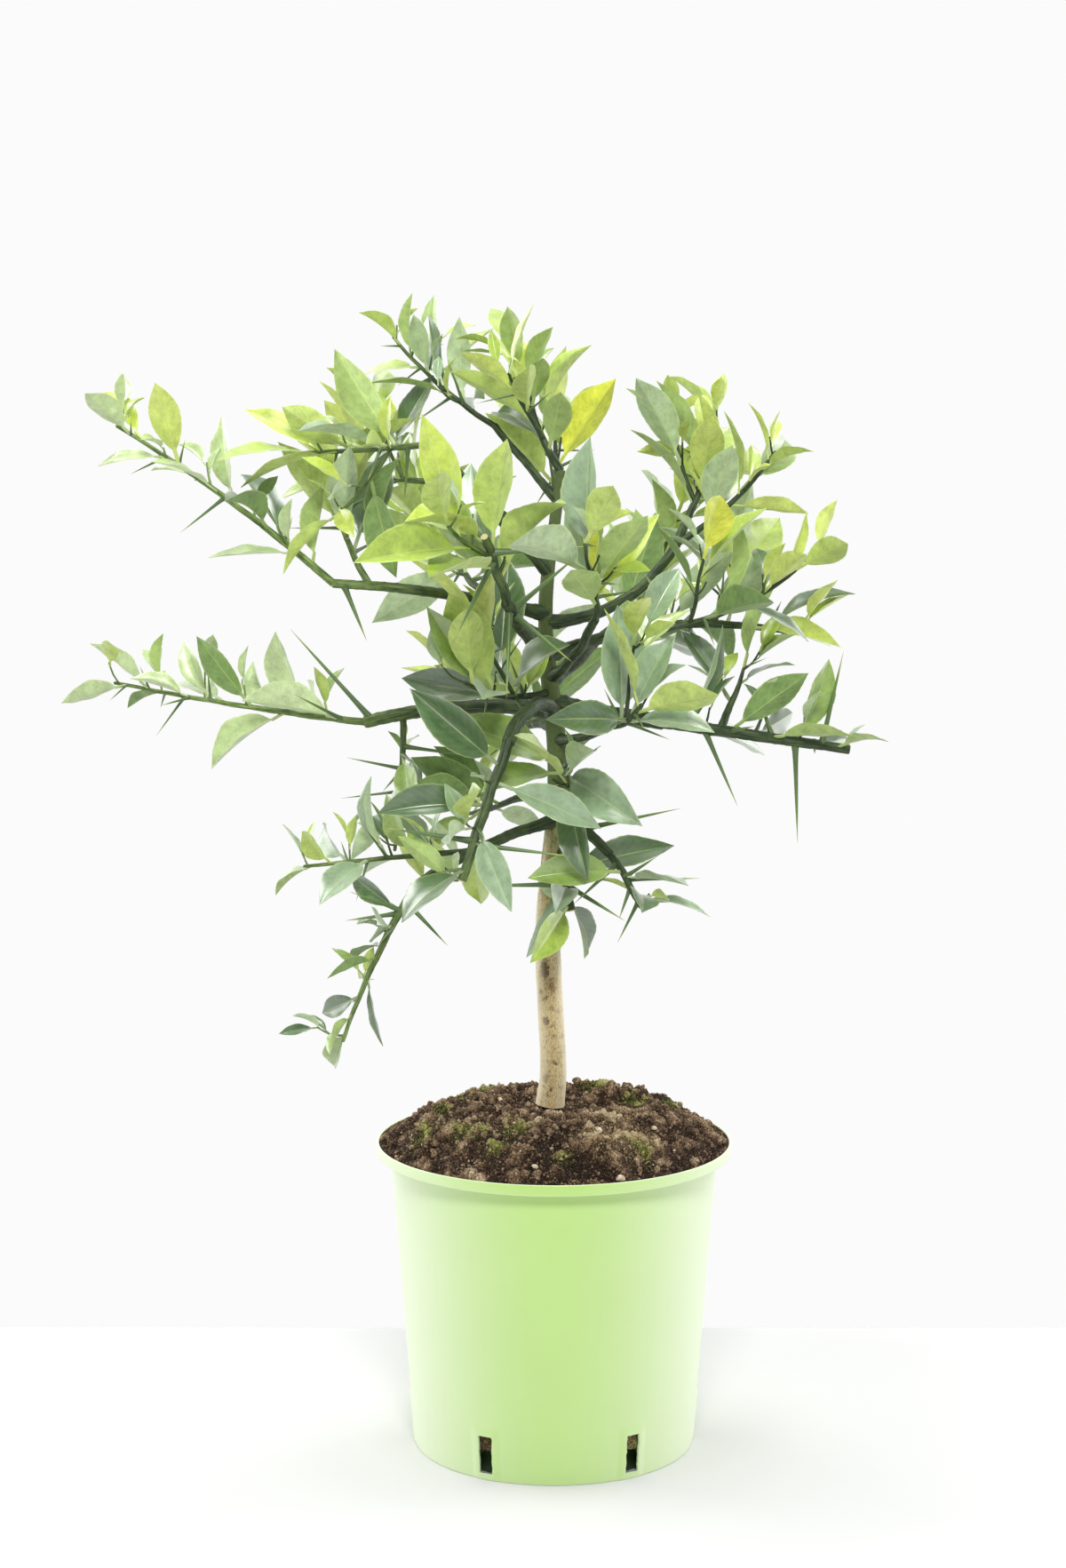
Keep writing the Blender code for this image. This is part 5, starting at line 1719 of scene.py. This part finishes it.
def leaf_pattern():
    """One closed leaf, where x is the place across, y the share of the length and z the side it is on.

    Upper and under faces are cut along the same diagonals, so that the two sides stay apart where the
    leaf bends. The bending mirrors the pattern, so its faces are wound backwards and face outwards once bent.
    """
    stations = leaf_stations()
    width, ends = len(ACROSS), len(ACROSS) - 1
    points, lobes = [], []
    for row, (share, lobe) in enumerate(stations):
        scallop = 0.988 + 0.024 * (row % 2) if lobe else 1.0
        for side in (1, -1):
            for column, u in enumerate(ACROSS):
                edge = column in (0, ends)
                points.append((u, share, 0.0 if edge else side))
                lobes.append(lobe * (scallop if edge else 1.0))
    points.append((0.0, 1.0, 0.0))
    lobes.append(0.0)
    tip = len(points) - 1

    def corner(row, side, column):
        return row * 2 * width + (0 if column in (0, ends) or side == 0 else width) + column

    faces, kinds = [], []
    for column in range(ends):
        foot = [corner(0, *place) for place in ((0, column), (1, column), (1, column + 1), (0, column + 1))]
        faces.append([place for number, place in enumerate(foot) if place != foot[number - 1]])
        kinds.append(UNDER)
    for row in range(len(stations)):
        for side in (0, 1):
            for column in range(ends):
                a, b = corner(row, side, column), corner(row, side, column + 1)
                if row + 1 == len(stations):
                    cut = [(a, b, tip)]
                else:
                    c, d = corner(row + 1, side, column + 1), corner(row + 1, side, column)
                    cut = [(a, b, c), (a, c, d)] if column * 2 < ends else [(a, b, d), (b, c, d)]
                faces += [face if side == 0 else face[::-1] for face in cut]
                kinds += [(UPPER, UNDER)[side]] * len(cut)
    mesh = bpy.data.meshes.new("leaf_pattern")
    mesh.from_pydata(points, [], [face[::-1] for face in faces])
    mesh.attributes.new("lobe", "FLOAT", "POINT").data.foreach_set("value", lobes)
    mesh.attributes.new("kind", "INT", "FACE").data.foreach_set("value", kinds)
    build = bmesh.new()
    build.from_mesh(mesh)
    loose = [vertex for vertex in build.verts if not vertex.link_faces]
    bmesh.ops.delete(build, geom=loose, context="VERTS")
    return mesh_object("leaf_pattern", built("leaf_pattern", build))


# %% The tree that bends it
BLADE_THICKNESS = 0.00036
STALK_THICKNESS = 0.0012
FOLD_GAIN = 1.5
FULL_LENGTH = 0.055
EDGE_WAVES, EDGE_DEPTH, EDGE_SHIFT = 19.0, 0.05, 0.8
TWIST_DEPTH = 0.16
CUP_DEPTH = 0.20


def leaf_tree():
    """Bends a copy of the pattern on every point by the values of that point."""
    tree, given = geometry_tree("leaves", {"Pattern": "Object", "Upper": "Material", "Under": "Material"})
    pattern = add_node(tree, "GeometryNodeObjectInfo", {"Object": given["Pattern"]}, "Geometry")
    pattern = stored(pattern, "flat", add_node(tree, "GeometryNodeInputPosition"), "FLOAT_VECTOR")
    sockets = {"Points": given["Geometry"], "Instance": pattern}
    copies = add_node(tree, "GeometryNodeInstanceOnPoints", sockets)
    solid = add_node(tree, "GeometryNodeRealizeInstances", {"Geometry": copies})

    across, share, side = parts(attribute(tree, "flat", "FLOAT_VECTOR"))
    root, along, face = (attribute(tree, name, "FLOAT_VECTOR") for name in ("root", "along", "face"))
    length, width, fold, curl = (attribute(tree, name) for name in ("length", "width", "fold", "curl"))
    lobe, phase = attribute(tree, "lobe"), attribute(tree, "phase")

    bend = curl * share
    forward = bend.maths("SINE") / curl
    drop = (1.0 - bend.maths("COSINE")) / curl
    midrib = root + (along * forward - face * drop) * length
    up = face * bend.maths("COSINE") + along * bend.maths("SINE")
    sideways = face.maths("CROSS_PRODUCT", along)

    on_blade = lobe.maths("GREATER_THAN", 0.0)
    slim = (length * (1.0 / FULL_LENGTH)).maths("MINIMUM", 1.0)
    stalk = (1.0 - on_blade) * slim
    half = lobe * width * 0.5 + stalk * PETIOLE_HALF
    aside = across.maths("ABSOLUTE")
    ripple = (share * EDGE_WAVES + phase + across * EDGE_SHIFT).maths("SINE")
    wave = ripple * aside * aside * EDGE_DEPTH
    twist = (phase * 3.0).maths("SINE") * across * share * TWIST_DEPTH
    cup = aside - aside * aside * CUP_DEPTH
    lift = half * ((fold * FOLD_GAIN).maths("TANGENT") * cup + wave + twist) * on_blade
    thick = side * (on_blade * (BLADE_THICKNESS / 2) + stalk * (STALK_THICKNESS / 2))
    bent = midrib + sideways * (across * half) + up * (lift + thick)
    leaves = add_node(tree, "GeometryNodeSetPosition", {"Geometry": solid, "Position": bent})

    kind = attribute(tree, "kind", "INT")
    for number, name in enumerate(("Upper", "Under")):
        chosen = kind.maths("COMPARE", float(number))
        sockets = {"Geometry": leaves, "Selection": chosen, "Material": given[name]}
        leaves = add_node(tree, "GeometryNodeSetMaterial", sockets)
    return end_tree(leaves)


# %% [markdown]
# ### Tints
#
# Leaves differ by age: those at the tips are yellow-green, and a few old ones have turned yellow. Leaves high
# up, far out and in a few sprays also get lighter tints, and those low and deep in the crown darker ones, as
# painted light and shade; the grey tint is a painted reflection of the sky on glossy leaves. A tint is dealt
# to each leaf by its spray, its place on that spray, its height and reach and a draw, so each tint is one
# plain colour on its own mesh. The place on the flat pattern is kept with each leaf, so that the midrib, the
# side veins and the pale margin can be drawn by formula.

# %% Leaf finishes
# Each tint is an upper and an underside colour. The undersides are paler as a citrus leaf's underside is, and
# lighter still as painted light shining through the leaf from behind.
TINTS = {
    "young": ((186, 206, 78), (200, 214, 116)),
    "bright": ((164, 190, 70), (182, 202, 108)),
    "mid": ((132, 162, 72), (160, 184, 108)),
    "deep": ((58, 94, 46), (116, 146, 82)),
    # The grey tint is a painted reflection: the sky's sheen on glossy leaves, painted into their colour.
    "grey": ((138, 164, 128), (178, 198, 156)),
    "pale": ((172, 194, 132), (188, 206, 156)),
    "yellow": ((224, 236, 28), (224, 236, 76)),
}
PALE_MASSES = ("leaves_left_far", "leaves_left_low")
VEINS = 11.0
VEIN_SLANT = 2.6
VEIN_SHOW = 0.24
VEIN_GREEN = (206, 218, 140)
BLADE_GLOSS = {"Sheen Weight": 0.35, "Sheen Roughness": 0.35, "Coat Roughness": 0.28, "Coat IOR": 1.8}


def tinted(colour, scale, pull):
    """A colour made lighter or darker, and pulled part of the way towards the pale green of veins."""
    mixed = [value * scale * (1 - pull) + goal * pull for value, goal in zip(colour[:3], chip(*VEIN_GREEN))]
    return tuple(min(1.0, value) for value in mixed) + (1.0,)


def blade_finish(name, colour, roughness, specular, coat):
    """A leaf's side: its tint, mottled a little, with side veins, a pale midrib and a thin pale margin."""
    material, tree, shader = finish(name, colour, roughness, specular)
    for socket, value in {**BLADE_GLOSS, "Coat Weight": coat}.items():
        shader.inputs[socket].default_value = value
    flat = add_node(tree, "ShaderNodeAttribute", output="Vector", attribute_name="flat")
    across, share = parts(flat, "XY")
    aside = across.maths("ABSOLUTE")
    wander = clouds(object_place(tree), 220.0, detail=2.0)
    run = (share * VEINS - aside * VEIN_SLANT + wander * 0.8) * math.pi
    vein = run.maths("SINE").maths("ABSOLUTE") ** 7.0
    mottle = between(clouds(object_place(tree), 110.0, detail=6.0, roughness=0.72), 0.25, 0.75)
    midrib = (1.0 - between(aside, 0.020, 0.060)) * 0.75
    margin = between(aside, 0.90, 0.97) * 0.75
    stalk = 1.0 - between(share, PETIOLE * 0.9, PETIOLE * 1.3)
    ground = blend(mottle, tinted(colour, 0.60, 0.0), tinted(colour, 1.36, 0.05))
    ground = blend(vein * VEIN_SHOW, ground, tinted(colour, 1.15, 0.16))
    ground = blend(midrib, ground, tinted(colour, 1.0, 0.42))
    ground = blend(margin, ground, tinted(colour, 1.1, 0.40))
    drive(shader, "Base Color", blend(stalk, ground, tinted(colour, 0.9, 0.25)))
    drive(shader, "Roughness", mottle * 0.16 + (roughness - 0.08))
    bump(shader, vein * -0.6 + wander * 0.4, 0.00003)
    return material


# %% Tints dealt to the leaves
OLD_LEAVES = ((0.020, 0.062, 0.645), (0.113, -0.04, 0.585), (0.041, -0.06, 0.591))
OLD_SIZE = 0.045
TINT_SEED = 12
TINT_SPREAD = (-0.30, 0.34)
PALE_SHARE = 0.6
SHEEN_GREY_SHARE = 0.34
YOUNG_FROM, BRIGHT_FROM, MID_FROM = 0.72, 0.52, 0.30
AGE_PART, PAINTED_HEIGHT_LIGHT, PAINTED_REACH_LIGHT = 0.30, 0.30, 0.20
CROWN_FOOT, CROWN_HEIGHT, CROWN_REACH = 0.35, 0.35, 0.25
# These sprays get lighter tints as painted light.
PAINTED_LIGHT_SPRAYS = {
    "leaves_top_right": 0.25, "leaves_right_high": 0.10, "leaves_front_right": 0.12, "leaves_front_mid": 0.08,
}


def deal_tints(leaves):
    """Sorts leaves by tint: fresher near tips, with painted light high up, far out and in some masses,
    painted shade low and deep in the crown, and old at a few spots.
    """
    draw = random.Random(TINT_SEED)
    dealt = {name: [] for name in TINTS}
    centres = np.array([leaf_station(leaf, 0.5)[0] for leaf in leaves])
    grown = np.array([0.0 if leaf.length > OLD_SIZE else 1.0 for leaf in leaves])
    old = {int(np.argmin(np.linalg.norm(centres - place, axis=1) + grown)) for place in np.array(OLD_LEAVES)}
    for number, leaf in enumerate(leaves):
        x, y, z = centres[number]
        height, spread = (z - CROWN_FOOT) / CROWN_HEIGHT, math.hypot(x, y) / CROWN_REACH
        # Age is the leaf's own; the height and reach parts are painted light high up and far out, and painted
        # shade low and deep in the crown.
        fresh = AGE_PART * leaf.age + PAINTED_HEIGHT_LIGHT * height + PAINTED_REACH_LIGHT * spread
        fresh += draw.uniform(*TINT_SPREAD)
        fresh += PAINTED_LIGHT_SPRAYS.get(leaf.mass, 0.0)
        if number in old:
            name = "yellow"
        elif leaf.mass in PALE_MASSES and draw.random() < PALE_SHARE:
            name = "pale"
        elif fresh > YOUNG_FROM:
            name = "young"
        elif fresh > BRIGHT_FROM:
            name = "bright"
        # The grey tint is a painted reflection of the sky on glossy leaves.
        elif draw.random() < SHEEN_GREY_SHARE:
            name = "grey"
        else:
            name = "mid" if fresh > MID_FROM else "deep"
        dealt[name].append(leaf)
    return dealt


# %% Dress every leaf
LEAF_FIELDS = ("root", "along", "face", "length", "width", "fold", "curl")


def dress(name, leaves, tree, pattern):
    """One mesh of all the leaves of one tint."""
    upper, under = (chip(*colour) for colour in TINTS[name])
    draw = random.Random(len(leaves))
    phase = [draw.uniform(0, 6.28) for leaf in leaves]
    cloud = point_cloud(f"leaves_{name}", leaves, LEAF_FIELDS, phase=phase)
    inputs = {
        "Pattern": pattern,
        "Upper": blade_finish(f"leaf_{name}", upper, 0.36, 0.6, 0.9),
        "Under": blade_finish(f"leaf_{name}_under", under, 0.55, 0.4, 0.0),
    }
    grow_nodes(cloud, tree, inputs)
    keep_attributes(cloud.data, "flat")
    smooth(cloud, 60)
    return cloud


pattern = leaf_pattern()
bending = leaf_tree()
dealt = deal_tints(leaves + small_leaves)
print("leaves of each tint:", {name: len(group) for name, group in dealt.items()})
foliage = [dress(name, group, bending, pattern) for name, group in dealt.items() if group]
bpy.data.objects.remove(pattern)

# %% [markdown]
# ## Table, light and camera
#
# The plant stands on a white table before a white sky, bright behind the plant and dimmer towards the
# viewer, which, with the painted sheen in the pot's shader, whitens the pot's flanks. A lamp high in front
# draws the shadow under the collar, one above lights the crown, and two wide lamps behind it, to the left and
# right, brighten its sides.

# %% The table
TABLE_BACK = 0.22
TABLE_FRONT = -5.0
TABLE_HALF = 5.0
TABLE_THICKNESS = 0.02
TABLE_WHITE = (0.655, 0.655, 0.66, 1.0)


def table():
    build = bmesh.new()
    bmesh.ops.create_cube(build, size=1.0)
    for vertex in build.verts:
        vertex.co.x *= 2 * TABLE_HALF
        vertex.co.y = TABLE_BACK if vertex.co.y > 0 else TABLE_FRONT
        vertex.co.z = 0.0 if vertex.co.z > 0 else -TABLE_THICKNESS
    bmesh.ops.bevel(build, geom=build.edges, offset=0.002, segments=3, affect="EDGES")
    material, tree, shader = finish("white_table", TABLE_WHITE, 0.7, specular=0.1)
    return mesh_object("table", built("table", build), material)


board = table()

# %% The light
LAMPS = {
    "left_lamp": ((-1.7, 1.0, 1.2), (0.0, 0.0, 0.35), 1.8, 24.0),
    "right_lamp": ((1.7, 1.0, 1.2), (0.0, 0.0, 0.35), 1.8, 24.0),
    "front_lamp": ((0.05, -1.55, 1.55), (0.0, 0.0, 0.30), 0.45, 23.5),
    "top_lamp": ((-0.3, -0.2, 2.1), (0.0, 0.0, 0.4), 0.7, 16.0),
}
SKY_FRONT = 0.46
SKY_BACK = 0.965


def lamp(name, place, target, size, power):
    light = bpy.data.lights.new(name, "AREA")
    light.shape = "RECTANGLE"
    light.size = light.size_y = size
    light.energy = power
    obj = placed(name, light)
    obj.location = place
    obj.rotation_euler = (Vector(target) - Vector(place)).to_track_quat("-Z", "Y").to_euler()


def white_sky(front, back):
    """A white sky that brightens from the viewer's side to the far side."""
    world = bpy.data.worlds.new("white_sky")
    bpy.context.scene.world = world
    world.use_nodes = True
    sky = world.node_tree.nodes["Background"]
    sky.inputs["Color"].default_value = (1.0,) * 4
    direction = add_node(world.node_tree, "ShaderNodeTexCoord", output="Generated")
    away = parts(direction, "Y")[0]
    drive(sky, "Strength", between(away, -0.3, 0.6) * (back - front) + front)


white_sky(SKY_FRONT, SKY_BACK)
for name, settings in LAMPS.items():
    lamp(name, *settings)
bpy.context.scene.view_settings.view_transform = "Standard"
print("the light is a white sky and", len(LAMPS), "lamps")

# %% The camera
LENS = 70.0
LONG_SIDE = 36.0
CAMERA_PLACE = (-0.013, -1.845, 0.6645)
CAMERA_TILT = 82.26


def camera():
    view = bpy.data.cameras.new("camera")
    view.lens = LENS
    view.sensor_width = LONG_SIDE
    view.sensor_fit = "AUTO"
    obj = placed("camera", view)
    obj.location = CAMERA_PLACE
    obj.rotation_euler = (math.radians(CAMERA_TILT), 0.0, 0.0)
    bpy.context.scene.camera = obj


camera()
print("the camera stands at", CAMERA_PLACE, "and looks", round(90 - CAMERA_TILT, 2), "degrees down")

# %% [markdown]
# ## Handing over
#
# Every mesh now rides on the body it belongs to, and the plain solids it stands for are hidden.

# %% Hand every piece to the frame
BOUGH_NODES = [row.name for row in BOUGHS]
MASS_NODES = [row.name for row in SHOOTS]
HANDED = [(pot, ["pot"], "green_plastic")]
HANDED += [(piece, ["soil"], "potting_soil") for piece in (mound, crumbs, lumps, stones, pebbles)]
HANDED += [(trunk_wood, ["trunk"], "pale_bark"), (bough_wood, BOUGH_NODES, "green_bark")]
HANDED += [(piece, MASS_NODES, "foliage") for piece in (stem_wood, needles, *foliage)]
for piece, nodes, slot_name in HANDED:
    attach(piece, BODY)
    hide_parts(*nodes)
